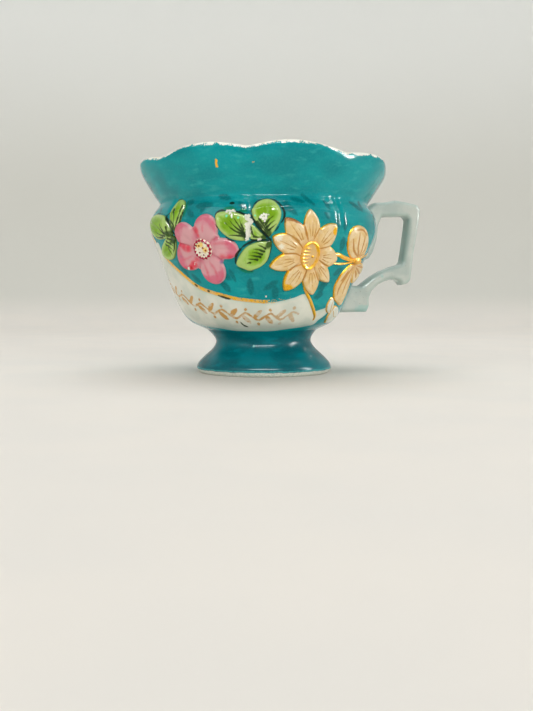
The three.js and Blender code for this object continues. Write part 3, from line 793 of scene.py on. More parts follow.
def cream_material():
    """Pale gilding over cream enamel, with brown-gold veins and bright gold outlines."""
    paint = Paint("cream_gilding_enamel")
    wobble = paint.noise(1.1, 3.0, shift=1.0)
    fine = paint.noise(0.4, 4.0, shift=4.0)
    cloud = paint.noise(3.0, 3.0, shift=2.0)
    colour = paint.mix(paint.between(cloud, 0.38, 0.62), seen(212, 180, 122), seen(218, 194, 150))
    colour = paint.mix(paint.between(fine, 0.5, 0.72, 0.0, 0.4), colour, seen(204, 160, 96))
    shade = paint.between(paint.field("shade"), 0.2, 0.9, 0.0, 0.6)
    colour = paint.mix(shade, colour, seen(200, 152, 86))
    vein = paint.ragged(paint.field("vein"), wobble, 0.16, soft=0.12)
    colour = paint.mix(vein, colour, seen(178, 122, 44), share=0.88)
    frayed = paint.ragged(paint.field("frayed"), fine, 1.2, soft=0.3)
    colour = paint.mix(frayed, colour, seen(226, 222, 206), share=0.8)
    outline = paint.ragged(paint.field("gilt"), wobble, 0.14, soft=0.1)
    rich = paint.mix(paint.between(fine, 0.46, 0.6), seen(240, 176, 34), seen(206, 140, 30))
    colour = paint.mix(outline, colour, rich)
    burnt = paint.ragged(paint.field("burnt"), wobble, 0.3, soft=0.3)
    colour = paint.mix(burnt, colour, seen(150, 86, 6), share=0.92)
    bump = paint.math("ADD", glaze_bump(paint), paint.math("MULTIPLY", outline, 0.9))
    bump = paint.math("SUBTRACT", bump, paint.math("MULTIPLY", vein, 0.9))
    return paint.finish(
        colour, paint.mix_value(outline, 0.24, 0.3), paint.math("MULTIPLY", outline, 0.5), bump, specular=0.4
    )


def white_leaf_material():
    paint = Paint("white_leaf_glaze")
    wobble = paint.noise(1.1, 3.0, shift=1.0)
    cloud = paint.noise(3.0, 3.0, shift=2.0)
    colour = paint.mix(paint.between(cloud, 0.35, 0.65), PORCELAIN_GREY, PORCELAIN)
    outline = paint.ragged(paint.field("gilt"), wobble, 0.2, soft=0.1)
    colour = paint.mix(outline, colour, worn_gold(paint), share=0.9)
    return paint.finish(colour, 0.14, paint.math("MULTIPLY", outline, 0.4), glaze_bump(paint))


def bright_gold_material():
    paint = Paint("bright_gilding_metal")
    fine = paint.noise(0.45, 4.0, shift=4.0)
    patch = paint.noise(1.8, 3.0, shift=2.0)
    colour = paint.mix(paint.between(patch, 0.4, 0.62), seen(238, 172, 30), seen(222, 172, 92))
    colour = paint.mix(paint.between(fine, 0.52, 0.68, 0.0, 0.7), colour, seen(182, 120, 30))
    vein = paint.ragged(paint.field("vein"), fine, 0.3, soft=0.15)
    colour = paint.mix(vein, colour, seen(206, 176, 128), share=0.8)
    bump = paint.math("ADD", glaze_bump(paint), fine)
    return paint.finish(colour, 0.3, 0.5, bump, specular=0.5)


def pink_centre_material():
    """A cream button in a beaded crimson ring, with yellow and brown stamens."""
    paint = Paint("pink_centre_enamel")
    wobble = paint.noise(0.7, 3.0, shift=1.0)
    fine = paint.noise(0.35, 3.0, shift=4.0)
    colour = paint.mix(paint.between(wobble, 0.4, 0.7), seen(226, 218, 200), seen(206, 190, 170))
    yellow = paint.ragged(paint.field("tone"), wobble, 0.3, soft=0.4)
    colour = paint.mix(yellow, colour, seen(226, 192, 90), share=0.85)
    stamen = paint.ragged(paint.field("vein"), fine, 0.12, soft=0.1)
    colour = paint.mix(stamen, colour, seen(140, 62, 14))
    plum = paint.ragged(paint.field("under"), fine, 0.12, soft=0.1)
    colour = paint.mix(plum, colour, seen(118, 20, 52))
    ring = paint.ragged(paint.field("shade"), wobble, 0.25, soft=0.12)
    colour = paint.mix(ring, colour, seen(150, 4, 50))
    return paint.finish(colour, 0.12, bump=glaze_bump(paint))


# ---------------------------------------------------------------------------------- bowl, foot, handle

FRONT_EDGE = 84  # the painted front is meshed finely to this angle on both sides
FRONT_STEP = 0.56
BACK_STEP = 2.4
LIP_UNEVENNESS = 0.12


def bowl_columns():
    front = np.arange(-FRONT_EDGE - 12, FRONT_EDGE + 2, FRONT_STEP)
    back = np.arange(front[-1] + BACK_STEP / 2, front[0] + 360 - BACK_STEP / 2, BACK_STEP)
    return np.concatenate([front, back])


def make_bowl():
    columns = bowl_columns()
    inset = 0.14  # keeps the lip under the rim's full height
    far = 60  # stands for well below the rim, or well inside it where negative
    bottom = JOINT_HEIGHT - 0.15
    heights = np.concatenate([np.arange(16.95, 64.6, 0.38), np.arange(64.9, 80.3, 0.6), [80.4]])
    top = heights[-1]
    around = len(columns)
    rings, angles, levels, below = [], [], [], []

    def add(points, level, under_rim):
        rings.append(points)
        angles.append(columns if len(points) > 1 else [0.0])
        levels.append(np.full(len(points), level))
        below.append(np.full(len(points), under_rim))

    def level_ring(radius, z):
        turn = turn_of(columns)
        x, y = leaned(radius * np.cos(turn), radius * np.sin(turn), z)
        return np.stack([x, y, np.full(around, z)], 1)

    def thickness(height):
        return WALL + (LIP - WALL) * smoothstep(COLLAR_START, top, height)

    add(level_ring(0, bottom)[:1], bottom, far)
    add(level_ring(12, bottom), bottom, far)
    add(level_ring(cup_radius(16.9) - 0.6, bottom), bottom, far)
    for height in heights:
        add(wall(columns, height), height, RIM_HEIGHT - height)
    lip_rise = RIM_HEIGHT - top - inset
    for bend in np.radians(np.arange(15, 180, 15)):
        ring = wall(columns, top, -LIP / 2 + LIP / 2 * math.cos(bend))
        unevenness = LIP_UNEVENNESS * np.sin(np.radians(columns) * 11) * math.sin(bend)
        ring[:, 2] += math.sin(bend) * (lip_rise - LIP_UNEVENNESS + unevenness)
        add(ring, top, 1.3 * (1 - math.degrees(bend) / 90))
    for height in np.concatenate([[top], np.arange(79, 21, -1.1)]):
        add(wall(columns, height, -thickness(height)), height, -1.5 - (top - height))
    for radius, rise in ((21.5, 1.5), (17, 0.55), (11, 0.2), (5, 0.05)):
        add(level_ring(radius, FLOOR_HEIGHT + rise), FLOOR_HEIGHT, -far)
    add(level_ring(0, FLOOR_HEIGHT)[:1], FLOOR_HEIGHT, -far)

    bowl = skin("bowl_glazed", rings)
    angle, level, under = (np.concatenate(part) for part in (angles, levels, below))
    fields = wall_fields(angle, level)
    fields["below_rim"] = under
    fields["wear"] = 0.34 * smoothstep(-12, 22, angle)
    give_fields(bowl, **fields)
    return finish_piece(bowl, bowl_material(), "teal_glaze", "bowl")


FOOT_CHIP = (-11.5, 11.1, 0.42)  # angle, height and radius
FOOT_AT_CHIP = 18.5  # the foot's own radius there


def make_foot():
    around = 240
    hollow = spline(FOOT_HOLLOW, 5, closed=False)[::-1]
    side = spline(FOOT_SIDE, 7, closed=False)[::-1]
    turn = np.radians(np.arange(around) * 360 / around)
    rings, heights, hollows = [], [], []

    def add(z, radius, inside):
        uneven = 0.06 * np.sin(5 * turn + z / 3) + 0.05 * np.sin(2 * turn + 1)
        r = radius + uneven * smoothstep(0.5, 4, z) if radius else np.zeros(1)
        angle = turn if radius else turn[:1]
        x, y = leaned(r * np.cos(angle), r * np.sin(angle), z)
        rings.append(np.stack([x, y, np.full(len(angle), z)], 1))
        heights.append(np.full(len(angle), z))
        hollows.append(np.full(len(angle), float(inside)))

    add(9.85, 0, True)
    for z, radius in hollow:
        add(z, radius, True)
    for z, radius in side:
        add(z, radius, False)
    add(17.5, 12, False)
    add(17.5, 0, False)
    foot = skin("pedestal_foot_glazed", rings)
    height = np.concatenate(heights)
    vertices = np.array([v.co for v in foot.data.vertices]) / MM - np.array([AXIS.x, AXIS.y, 0]) / MM
    angle = np.degrees(np.arctan2(vertices[:, 1], vertices[:, 0])) + HANDLE_ANGLE
    chip_angle, chip_height, chip_radius = FOOT_CHIP
    chip = chip_radius - np.hypot(np.radians(angle - chip_angle) * FOOT_AT_CHIP, height - chip_height)
    give_fields(foot, height=height, hollow=np.concatenate(hollows), chip=chip)
    return finish_piece(foot, foot_material(), "foot_glaze", "pedestal_foot")


# Side outline of the handle, as (distance from the mug's axis, height). Its ends run into the wall.
HANDLE_OUTLINE = [
    (38.5, 62.8), (42.1, 64.3), (46, 66.9), (49.8, 67.0), (54.7, 68), (59.5, 67.4), (64.1, 66.5),
    (65.4, 64.9), (64.1, 54), (62.8, 46.6), (61.7, 39), (61.4, 36.4), (60.2, 35.2), (58.1, 34.6),
    (56.6, 36.3), (53.3, 36.9), (50, 36), (47.1, 34.6), (44.2, 31.9), (43, 28.5), (43.3, 25.9), (42.3, 23.7),
    (30, 23.5), (31, 33.5), (39.9, 33.4), (45.3, 37.3), (49.1, 39.4), (53.6, 41.2), (57.6, 42.3),
    (58.6, 43.8), (59.6, 49.6), (60.5, 56.4), (60.8, 61.0), (59.3, 62.5), (48.6, 62), (46.9, 58.3),
    (46.4, 52.3), (45.1, 48), (43.2, 45.2), (38, 43.5),
]
HANDLE_ROUNDING = 1.7
HANDLE_TUCK = 1.3  # how deep its ends run into the wall
HANDLE_FULLNESS = 0.4  # makes up for what smoothing the remeshed blank takes off


def handle_blank():
    """The handle's outline made thick, with round edges, as an even skin."""
    curve = bpy.data.curves.new("handle_outline", "CURVE")
    curve.dimensions = "2D"
    curve.fill_mode = "BOTH"
    outline = np.array(HANDLE_OUTLINE)
    line = curve.splines.new("POLY")
    line.points.add(len(outline) - 1)
    for point, (x, z) in zip(line.points, outline):
        point.co = (x, z, 0, 1)
    line.use_cyclic_u = True
    curve.extrude = HANDLE_THICKNESS / 2 - HANDLE_ROUNDING
    curve.bevel_depth = HANDLE_ROUNDING
    curve.offset = HANDLE_FULLNESS - HANDLE_ROUNDING
    curve.bevel_resolution = 5
    blank = bpy.data.objects.new("handle_blank", curve)
    bpy.context.scene.collection.objects.link(blank)
    for kind, settings in (
        ("REMESH", {"mode": "VOXEL", "voxel_size": 0.36}),
        ("SMOOTH", {"factor": 0.5, "iterations": 5}),
    ):
        modifier = blank.modifiers.new(kind.lower(), kind)
        for key, value in settings.items():
            setattr(modifier, key, value)
    bpy.context.view_layer.update()
    made = bpy.data.meshes.new_from_object(blank.evaluated_get(bpy.context.evaluated_depsgraph_get()))
    points = np.array([v.co for v in made.vertices])
    faces = [list(polygon.vertices) for polygon in made.polygons]
    bpy.data.objects.remove(blank)
    bpy.data.meshes.remove(made)
    return points, faces


def make_handle():
    points, faces = handle_blank()
    reach, height, aside = points[:, 0], points[:, 1], points[:, 2]
    # It widens where it is luted to the wall, and its grip is a little uneven.
    off_wall = reach - cup_radius(np.clip(height, 17, 80))
    flare = 1 + 0.22 * bell(np.clip(off_wall, 0, None), 2.2)
    aside = aside * flare * (1 + 0.02 * np.sin(height / 4))
    reach = reach + 0.1 * np.sin(height / 5 + 1)
    # Inside the wall it stops short of the inner side.
    radius = np.hypot(reach, aside)
    least = cup_radius(np.clip(height, 17, 80)) - lean(height) - HANDLE_TUCK
    pushed = np.maximum(radius, least) / radius
    # x runs out along the handle, so a side outline in x and z stands up with its thickness along y.
    vertices = np.stack([reach * pushed, -aside * pushed, height], 1)
    handle = new_object("handle_glazed", vertices, faces)
    outline = np.array(HANDLE_OUTLINE)
    edge = inside_by(np.stack([reach, height], 1), outline)
    low_smear = 1.6 - np.hypot((reach - 40.5) / 2, height - 24.6)
    smear = np.maximum(low_smear, 0.55 - np.hypot(reach - 48.8, height - 37.6))
    give_fields(handle, edge=edge, smear=smear)
    return finish_piece(handle, handle_material(), "white_glaze", "handle")


# ---------------------------------------------------------------------------------- pressed pieces

PATCH_PARTS = np.concatenate([[1, 0.992, 0.975, 0.95, 0.92, 0.885], np.linspace(0.845, 0.03, 17)])
UNDERSIDE = -0.4


def even_loop(outline, count, around):
    """The same closed line with points at even distances, anticlockwise as seen from outside."""
    loop = flat(*outline.T, around)
    closed = np.concatenate([loop, loop[:1]])
    places = np.concatenate([outline, outline[:1]])
    passed = np.concatenate([[0], np.cumsum(np.hypot(*np.diff(closed, axis=0).T))])
    wanted = np.arange(count) / count * passed[-1]
    even = np.stack([np.interp(wanted, passed, places[:, k]) for k in range(2)], 1)
    x, y = flat(*even.T, around).T
    anticlockwise = (x * np.roll(y, -1) - np.roll(x, -1) * y).sum() > 0
    return even if anticlockwise else even[::-1]


def patch(name, outline, middle, relief):
    """A closed piece on the wall inside an outline, with its relief as a height over the wall.

    Returns the object, and each vertex's angle, height and distance inside the outline."""
    middle = np.asarray(middle, float)
    flat_outline = flat(*outline.T, middle[1])
    upper = [middle + (outline - middle) * part for part in PATCH_PARTS] + [middle[None, :]]
    lower = [middle[None, :]] + [middle + (outline - middle) * part for part in (0.35, 0.75, 1.0)]
    places = np.concatenate(lower + upper)
    inside = inside_by(flat(*places.T, middle[1]), flat_outline)
    inside = np.clip(inside, 0, None)
    rise = relief(places[:, 0], places[:, 1], inside)
    rise[: sum(len(ring) for ring in lower)] = UNDERSIDE
    points = wall(places[:, 0], places[:, 1], rise)
    rings = np.split(points, np.cumsum([len(ring) for ring in lower + upper])[:-1])
    return skin(name, rings), places[:, 0], places[:, 1], inside


def rounded_edge(inside, width):
    """A quarter round at the edge of a piece, 0 at its outline and 1 further in."""
    away = 1 - np.clip(inside / width, 0, 1)
    return np.sqrt(np.clip(1 - away**2.4, 0, 1))


# Each leaf: its outline, its midrib from base to tip, and its side veins.
LEAVES = {
    "left_leaf_outer": {
        "outline": [
            (-75.0, 57.0), (-72.6, 58.9), (-67.0, 59.6), (-61.3, 59.3), (-56.2, 58.6), (-53.7, 57.1),
            (-51.2, 53.9), (-49.0, 51.6), (-54.9, 50.6), (-60.5, 50.3), (-66.0, 50.8), (-71.2, 53.2),
        ],
        "rib": [(-50.6, 51.7), (-56.0, 52.6), (-63.0, 54.6), (-73.5, 57.4)],
        "veins": [
            [(-55.6, 51.5), (-60.0, 52.2), (-63.9, 53.8)], [(-55.7, 52.3), (-58.8, 53.7), (-61.2, 55.3)],
            [(-55.6, 53.4), (-57.3, 54.6), (-58.7, 56.3)], [(-57.7, 51.1), (-62.4, 51.2), (-66.5, 52.3)],
            [(-53.2, 54.4), (-53.0, 52.6), (-52.3, 51.1)],
        ],
    },
    "left_leaf_upper": {
        "outline": [
            (-47.8, 64.1), (-45.2, 63.8), (-42.2, 62.7), (-40.8, 61.2), (-41.2, 58.4), (-42.4, 55.6),
            (-46.2, 52.2), (-49.3, 54.5), (-51.6, 57.2), (-51.9, 58.7), (-50.4, 60.0), (-48.4, 61.6),
        ],
        "rib": [(-46.6, 52.6), (-46.9, 55.6), (-46.7, 59.0), (-46.4, 63.4)],
        "veins": [
            [(-48.3, 56.0), (-46.6, 54.4), (-46.1, 52.7)], [(-49.8, 56.9), (-48.1, 54.5), (-47.0, 52.7)],
            [(-47.4, 60.0), (-46.0, 56.9), (-46.7, 54.5)], [(-43.2, 57.0), (-44.8, 54.7), (-46.0, 52.8)],
            [(-41.8, 60.8), (-42.8, 58.0), (-44.4, 55.4)], [(-47.4, 63.9), (-44.4, 63.3)],
        ],
    },
    "left_leaf_lower": {
        "outline": [
            (-54.6, 51.0), (-50.8, 51.3), (-48.2, 51.0), (-47.7, 50.0), (-48.6, 47.9), (-51.5, 45.1),
            (-54.6, 43.3), (-60.0, 42.9), (-64.5, 44.0), (-65.8, 45.6), (-63.4, 47.8), (-59.0, 49.6),
        ],
        "rib": [(-49.2, 50.2), (-53.0, 48.6), (-58.0, 46.4), (-64.4, 45.2)],
        "veins": [
            [(-54.0, 50.5), (-50.7, 50.0), (-48.7, 49.2)], [(-55.5, 49.7), (-52.0, 48.5), (-50.0, 47.7)],
            [(-56.4, 48.6), (-52.9, 47.3), (-51.8, 46.2)], [(-54.9, 47.4), (-54.1, 45.7), (-53.7, 44.6)],
            [(-48.5, 49.6), (-50.0, 47.4), (-52.6, 45.3)],
        ],
    },
    "middle_leaf_left": {
        "outline": [
            (-22.2, 56.9), (-20.9, 58.0), (-17.8, 58.4), (-13.4, 58.1), (-9.1, 57.0), (-7.4, 55.8),
            (-6.8, 52.4), (-7.3, 50.0), (-8.6, 48.6), (-12.2, 48.6), (-16.0, 49.3), (-19.5, 51.3),
            (-21.7, 53.8),
        ],
        "rib": [(-7.8, 50.2), (-12.0, 52.2), (-16.5, 54.4), (-21.6, 56.9)],
        "veins": [
            [(-9.0, 50.2), (-12.4, 50.4), (-16.4, 50.6)],
            [(-9.1, 50.8), (-11.1, 51.3), (-13.8, 52.3), (-17.6, 54.7)],
            [(-9.5, 51.5), (-11.7, 52.5), (-13.7, 53.8), (-15.1, 55.3)],
            [(-9.5, 52.0), (-10.8, 53.3), (-13.2, 55.8)],
            [(-9.2, 52.4), (-10.1, 54.0), (-10.7, 55.6)], [(-8.6, 50.0), (-9.6, 52.4), (-9.2, 54.4)],
        ],
    },
    "middle_leaf_top": {
        "outline": [
            (1.2, 62.3), (-2.7, 61.4), (-5.4, 59.0), (-5.5, 57.4), (-4.2, 54.9), (-1.3, 52.1), (2.1, 49.7),
            (4.5, 51.6), (6.9, 54.6), (7.8, 57.2), (7.2, 59.4), (4.8, 61.6),
        ],
        "rib": [(1.9, 50.9), (0.9, 53.4), (0.9, 57.0), (1.3, 61.6)],
        "veins": [
            [(0.8, 54.0), (2.4, 55.5), (4.4, 56.5)], [(1.4, 53.0), (3.1, 54.3), (5.0, 55.2)],
            [(2.1, 52.1), (4.0, 53.2), (5.6, 54.1)], [(0.2, 54.5), (1.1, 55.8), (2.4, 57.0)],
            [(-2.1, 55.5), (-0.4, 53.8), (0.9, 52.4), (1.9, 50.9)], [(-2.9, 54.7), (-0.6, 52.9), (1.6, 50.9)],
        ],
    },
    "middle_leaf_low": {
        "outline": [
            (3.7, 48.4), (0.9, 48.4), (-3.7, 48.0), (-8.6, 46.5), (-12.6, 43.4), (-14.4, 40.5), (-10.4, 39.0),
            (-7.4, 38.4), (-4.2, 39.0), (-1.6, 39.8), (0.8, 41.1), (2.4, 42.8), (3.2, 45.4),
        ],
        "rib": [(3.3, 48.0), (1.4, 46.5), (-0.1, 44.7), (-2.5, 42.9), (-5.1, 41.6), (-7.8, 41.0)],
        "veins": [
            [(0.7, 46.0), (-0.9, 46.7), (-2.9, 47.3)], [(0.0, 45.1), (-2.4, 45.8), (-5.5, 46.0)],
            [(-1.0, 44.1), (-2.9, 44.7), (-5.6, 44.9)], [(-1.8, 43.3), (-4.5, 43.7), (-7.6, 43.9)],
            [(-3.3, 42.4), (-5.5, 42.6), (-7.9, 42.8)], [(-7.0, 41.4), (-8.6, 41.2)],
        ],
    },
    "middle_leaf_sliver": {
        "outline": [
            (-6.0, 54.1), (-3.8, 53.1), (-1.4, 51.3), (1.2, 49.3), (-0.9, 48.9), (-5.2, 48.8), (-6.6, 49.6),
            (-6.3, 52.0),
        ],
        "rib": [(0.6, 49.4), (-2.0, 50.2), (-4.6, 51.6), (-5.9, 53.4)],
        "veins": [[(-6.0, 52.8), (-5.4, 51.2), (-4.3, 50.2), (-0.9, 49.7)], [(-4.6, 50.0), (-1.4, 49.4)]],
    },
}
DROPS = [(-16.6, 56.6, 0.42), (-11.3, 56.0, 0.42), (-3.9, 56.6, 0.3)]
LEAF_CROWN = 1.35
VEIN_WIDTH = 0.42


def make_leaf(name, material, outline, rib, veins):
    middle = np.mean(outline, axis=0)
    around = middle[1]
    loop = even_loop(spline(outline, 8, closed=True), 150, around)
    rib_line = flat(*spline(rib, 5, closed=False).T, around)
    routes = [(vein, VEIN_WIDTH, POINTED) for vein in veins]

    def relief(angle, height, inside):
        away, _ = along_line(flat(angle, height, around), rib_line)
        dome = LEAF_CROWN * (0.72 + 0.28 * smoothstep(0.5, 3.4, inside)) * rounded_edge(inside, 1.0)
        vein = np.clip(strokes(angle, height, routes) + 0.2, 0, 0.4)
        return dome - 0.34 * bell(away, 0.6) * smoothstep(0.2, 1.2, inside) - 0.42 * vein - 0.1

    leaf, angle, height, inside = patch(name + "_enamelled", loop, middle, relief)
    away, share = along_line(flat(angle, height, around), rib_line)
    tone = 0.95 * bell(share - 0.62, 0.36) * smoothstep(0.2, 2.6, inside)
    shade = 0.9 * bell(share, 0.2) * bell(away, 1.7) + 0.35 * bell(away, 0.6) * (1 - share)
    fields = paint_fields(angle, height)
    vein = strokes(angle, height, routes)
    drop = blobs(angle, height, DROPS)
    give_fields(leaf, edge=inside, tone=tone, shade=shade, vein=vein, drop=drop, **fields)
    return finish_piece(leaf, material, "green_leaf", name)


def make_leaves():
    material = leaf_material()
    for name, shape in LEAVES.items():
        make_leaf(name, material, **shape)


# A petal is (direction, length, half its spread in degrees). The hub is where petals part.
PINK = {
    "middle": (-30.5, 46.3), "hub": 7.9, "sharpness": 1.9,
    "petals": [
        (-2.2, 12.9, 26.7), (70.3, 11.9, 35.5), (146.3, 13.7, 31.8), (195.2, 13.5, 41.8), (283.1, 12.6, 36.7),
    ],
}
GILT = {
    "middle": (23.4, 43.9), "hub": 5.7, "sharpness": 1.32,
    "petals": [
        (-4.3, 12.1, 39.4), (51, 13.8, 38.3), (96.8, 15.4, 28.9), (131.1, 16.2, 28.5), (157.2, 15.6, 29.7),
        (195.9, 14.4, 30.2), (240.1, 14.2, 34.2), (286.7, 14.3, 33.4), (319.2, 13.8, 26.1),
    ],
}


def polar(angle, height, middle):
    """Direction in degrees and distance in mm from the middle of a flower."""
    across = np.radians(angle - middle[0]) * cup_radius(height)
    up = height - middle[1]
    return np.degrees(np.arctan2(up, across)) % 360, np.hypot(across, up)


def off_petal(direction, axis):
    return (direction - axis + 180) % 360 - 180


def petal_reach(direction, petal, hub, sharpness):
    axis, length, spread = petal
    away = np.clip(np.abs(off_petal(direction, axis)) / spread, 0, 1)
    return hub + (length - hub) * (1 - away**sharpness)


def flower_loop(flower, count):
    middle = flower["middle"]
    direction = np.arange(0, 360, 0.5)
    hub, sharpness = flower["hub"], flower["sharpness"]
    reaches = [petal_reach(direction, petal, hub, sharpness) for petal in flower["petals"]]
    reach = np.max(reaches, axis=0)
    height = middle[1] + reach * np.sin(np.radians(direction))
    angle = middle[0] + np.degrees(reach * np.cos(np.radians(direction)) / cup_radius(height))
    return even_loop(np.stack([angle, height], 1), count, middle[1])


def petal_field(angle, height, flower):
    """For each place its petal's number, how far across the petal it is (-1 to 1), how far out, and how
    far it is from the next petal in mm."""
    direction, distance = polar(angle, height, flower["middle"])
    hub, sharpness = flower["hub"], flower["sharpness"]
    across = []
    for axis, length, spread in flower["petals"]:
        out = np.clip((distance - hub) / (length - hub), 0, 0.995)
        width = spread * (1 - out) ** (1 / sharpness)
        across.append(off_petal(direction, axis) / np.maximum(width, 2))
    across = np.array(across)
    order = np.argsort(np.abs(across), axis=0)
    every = np.arange(len(angle))
    nearest, second = across[order[0], every], across[order[1], every]
    lengths = np.array([petal[1] for petal in flower["petals"]])[order[0]]
    spread = np.radians(30)
    parting = (np.abs(second) - np.abs(nearest)) * distance * spread / 2
    return order[0], np.clip(nearest, -1.2, 1.2), distance / lengths, parting


def make_flower(name, flower, crown, slot, material, painting):
    """Petals that arch across and part in grooves, round a sunken middle."""
    middle = flower["middle"]
    loop = flower_loop(flower, 420)

    def relief(angle, height, inside):
        _, across, out, parting = petal_field(angle, height, flower)
        arch = 0.7 + 0.3 * np.sqrt(np.clip(1 - np.abs(across) ** 2.2, 0, 1))
        cup = 0.58 + 0.42 * smoothstep(0.2, 0.5, out)
        groove = 0.5 * bell(parting, 0.42) * smoothstep(0.3, 0.5, out)
        fold = 0.14 * bell(across, 0.16) * smoothstep(0.3, 0.5, out) * (1 - smoothstep(0.75, 1, out))
        dome = crown * arch * cup * rounded_edge(inside, 1.0)
        return dome - (groove + fold) * smoothstep(0, 0.8, inside) - 0.1

    piece, angle, height, inside = patch(name + "_enamelled", loop, middle, relief)
    give_fields(piece, **painting(angle, height, inside))
    return finish_piece(piece, material, slot, name)


PINK_BLUSH = [
    (-32.0, 52.4, 1.5, 0.8), (-31.4, 50.8, 1.0, 0.7), (-39.0, 46.8, 1.6, 0.8), (-41.6, 47.3, 1.6, 0.7),
    (-44.2, 48.4, 1.1, 0.7), (-38.0, 41.2, 1.6, 1.0), (-40.4, 40.2, 1.2, 1.3), (-45.0, 39.8, 0.8, 1.2),
    (-35.6, 42.9, 1.4, 0.6), (-16.6, 43.3, 1.5, 0.7), (-20.4, 43.6, 1.6, 0.55), (-30.4, 38.4, 0.9, 0.4),
    (-25.6, 38.4, 0.9, 0.4),
]
PINK_SHADE = [
    (-14.6, 42.4, 1.2, 0.9), (-18.2, 41.4, 1.2, 0.9), (-21.6, 41.7, 1.0, 0.8), (-31.0, 34.4, 1.0, 0.7),
    (-24.4, 35.2, 0.8, 0.5), (-45.6, 44.2, 1.0, 0.5),
]
PINK_STREAKS = [
    ([(-32.2, 54.3), (-31.7, 52.7), (-31.1, 51.2)], 0.6),
    ([(-44.7, 48.7), (-41.0, 46.3), (-37.7, 46.0)], 0.6),
    ([(-45.4, 40.4), (-41.0, 40.0), (-37.4, 42.3)], 0.6),
    ([(-24.4, 47.9), (-20.2, 48.2), (-16.2, 47.9)], 0.5),
    ([(-23.1, 43.8), (-19.5, 43.1), (-15.6, 43.9)], 0.55),
    ([(-31.3, 41.2), (-30.6, 38.4), (-30.5, 35.7)], 0.45),
    ([(-27.9, 41.9), (-25.8, 39.4), (-25.0, 36.7)], 0.45), ([(-28.0, 54.0), (-28.4, 52.0)], 0.4),
    ([(-46.0, 43.0), (-41.0, 43.4), (-37.6, 44.2)], 0.4),
]


def paint_pink_flower(angle, height, inside):
    _, across, out, parting = petal_field(angle, height, PINK)
    tone = 0.2 + 0.5 * smoothstep(0.5, 0.95, out) + 0.3 * np.abs(across) ** 2 - 0.35 * bell(out - 0.55, 0.16)
    return {
        **paint_fields(angle, height),
        "edge": inside,
        "tone": tone + 0.45 * bell(parting, 0.5) * smoothstep(0.4, 0.6, out),
        "vein": strokes(angle, height, tapered(PINK_STREAKS)),
        "shade": soft_spots(angle, height, PINK_BLUSH),
        "under": soft_spots(angle, height, PINK_SHADE),
    }


GOLD_BURNT = tapered([
    ([(9.0, 55.6), (12.5, 55.7), (14.8, 55.1), (17.9, 54.2)], 0.85),
    ([(8.6, 54.4), (9.4, 55.6)], 0.5),
])
GOLD_CRUST = tapered([([(10.9, 33.9), (13.0, 33.2), (15.6, 33.1)], 1.0)])
# Brown-gold lines between the petals, from the tips inward.
GOLD_PARTINGS = [
    [(18.1, 53.9), (19.1, 51.7), (20.8, 48.8)], [(27.0, 53.9), (24.8, 52.2), (23.2, 49.0)],
    [(9.4, 51.2), (12.4, 50.4), (15.0, 49.1), (18.9, 46.1)], [(9.0, 44.2), (14.9, 44.6), (18.9, 43.4)],
    [(12.2, 38.2), (15.9, 40.2), (19.6, 40.9)], [(21.5, 34.7), (22.7, 38.0), (22.9, 39.4)],
    [(32.3, 35.1), (28.4, 38.4), (27.0, 40.5)], [(35.8, 40.6), (32.9, 41.2), (28.5, 42.7)],
    [(34.1, 47.7), (31.5, 47.1), (27.5, 46.3)],
]
GILT_EDGE = 0.28
THICK_GILT_PETALS = {0: 0.4, 4: 0.4, 5: 0.55, 6: 0.7, 7: 0.35, 8: 0.35}


def petal_veins(flower):
    """A middle line and two side lines on each petal, of uneven length."""
    middle = flower["middle"]
    routes = []
    for k, (axis, length, spread) in enumerate(flower["petals"]):
        for aside, reach in ((-0.36, 0.72), (0.0, 0.86), (0.36, 0.7)):
            shares = np.array([0.42, 0.58, reach + 0.05 * math.sin(5 * k + 9 * aside)])
            turns = np.radians(axis + aside * spread * np.array([0.5, 0.7, 0.6]))
            height = middle[1] + length * shares * np.sin(turns)
            angle = middle[0] + np.degrees(length * shares * np.cos(turns) / cup_radius(height))
            routes.append((np.stack([angle, height], 1), 0.2, POINTED))
    return routes


def paint_gold_flower(angle, height, inside):
    number, across, out, _ = petal_field(angle, height, GILT)
    partings = [(route, 0.3, TAPERED) for route in GOLD_PARTINGS]
    rim_width = np.full(len(angle), GILT_EDGE)
    for k, width in THICK_GILT_PETALS.items():
        rim_width = np.where(number == k, width, rim_width)
    gilt = rim_width - inside
    granular = np.minimum(1.3 - np.hypot(np.radians(angle - 34.5) * cup_radius(52), height - 52.4), 0.8)
    crust = strokes(angle, height, GOLD_CRUST)
    return {
        "vein": np.maximum(strokes(angle, height, petal_veins(GILT)), strokes(angle, height, partings)),
        "shade": 0.7 * bell(out - 0.3, 0.14) + 0.4 * np.abs(across) ** 3,
        "gilt": np.maximum(gilt, np.maximum(granular, crust)),
        "burnt": strokes(angle, height, GOLD_BURNT),
        "frayed": blobs(angle, height, [(6.6, 49.8, 1.1), (8.0, 46.8, 0.9)]),
    }


def make_flowers(cream):
    make_flower("pink_flower", PINK, 1.5, "pink_petal", petal_material(), paint_pink_flower)
    make_flower("gold_flower", GILT, 1.45, "cream_gilding", cream, paint_gold_flower)


def oval(middle, half_width, half_height, count):
    turns = np.radians(np.arange(count) * 360 / count)
    return np.stack([middle[0] + half_width * np.cos(turns), middle[1] + half_height * np.sin(turns)], 1)


PINK_BOSS = (-30.7, 46.2)
PINK_BEADS = 15
PINK_STAMENS = [
    (-31.8, 47.5), (-29.8, 46.8), (-33.4, 47.6), (-28.6, 45.9), (-32.1, 45.3), (-33.8, 44.4), (-30.2, 44.4),
]


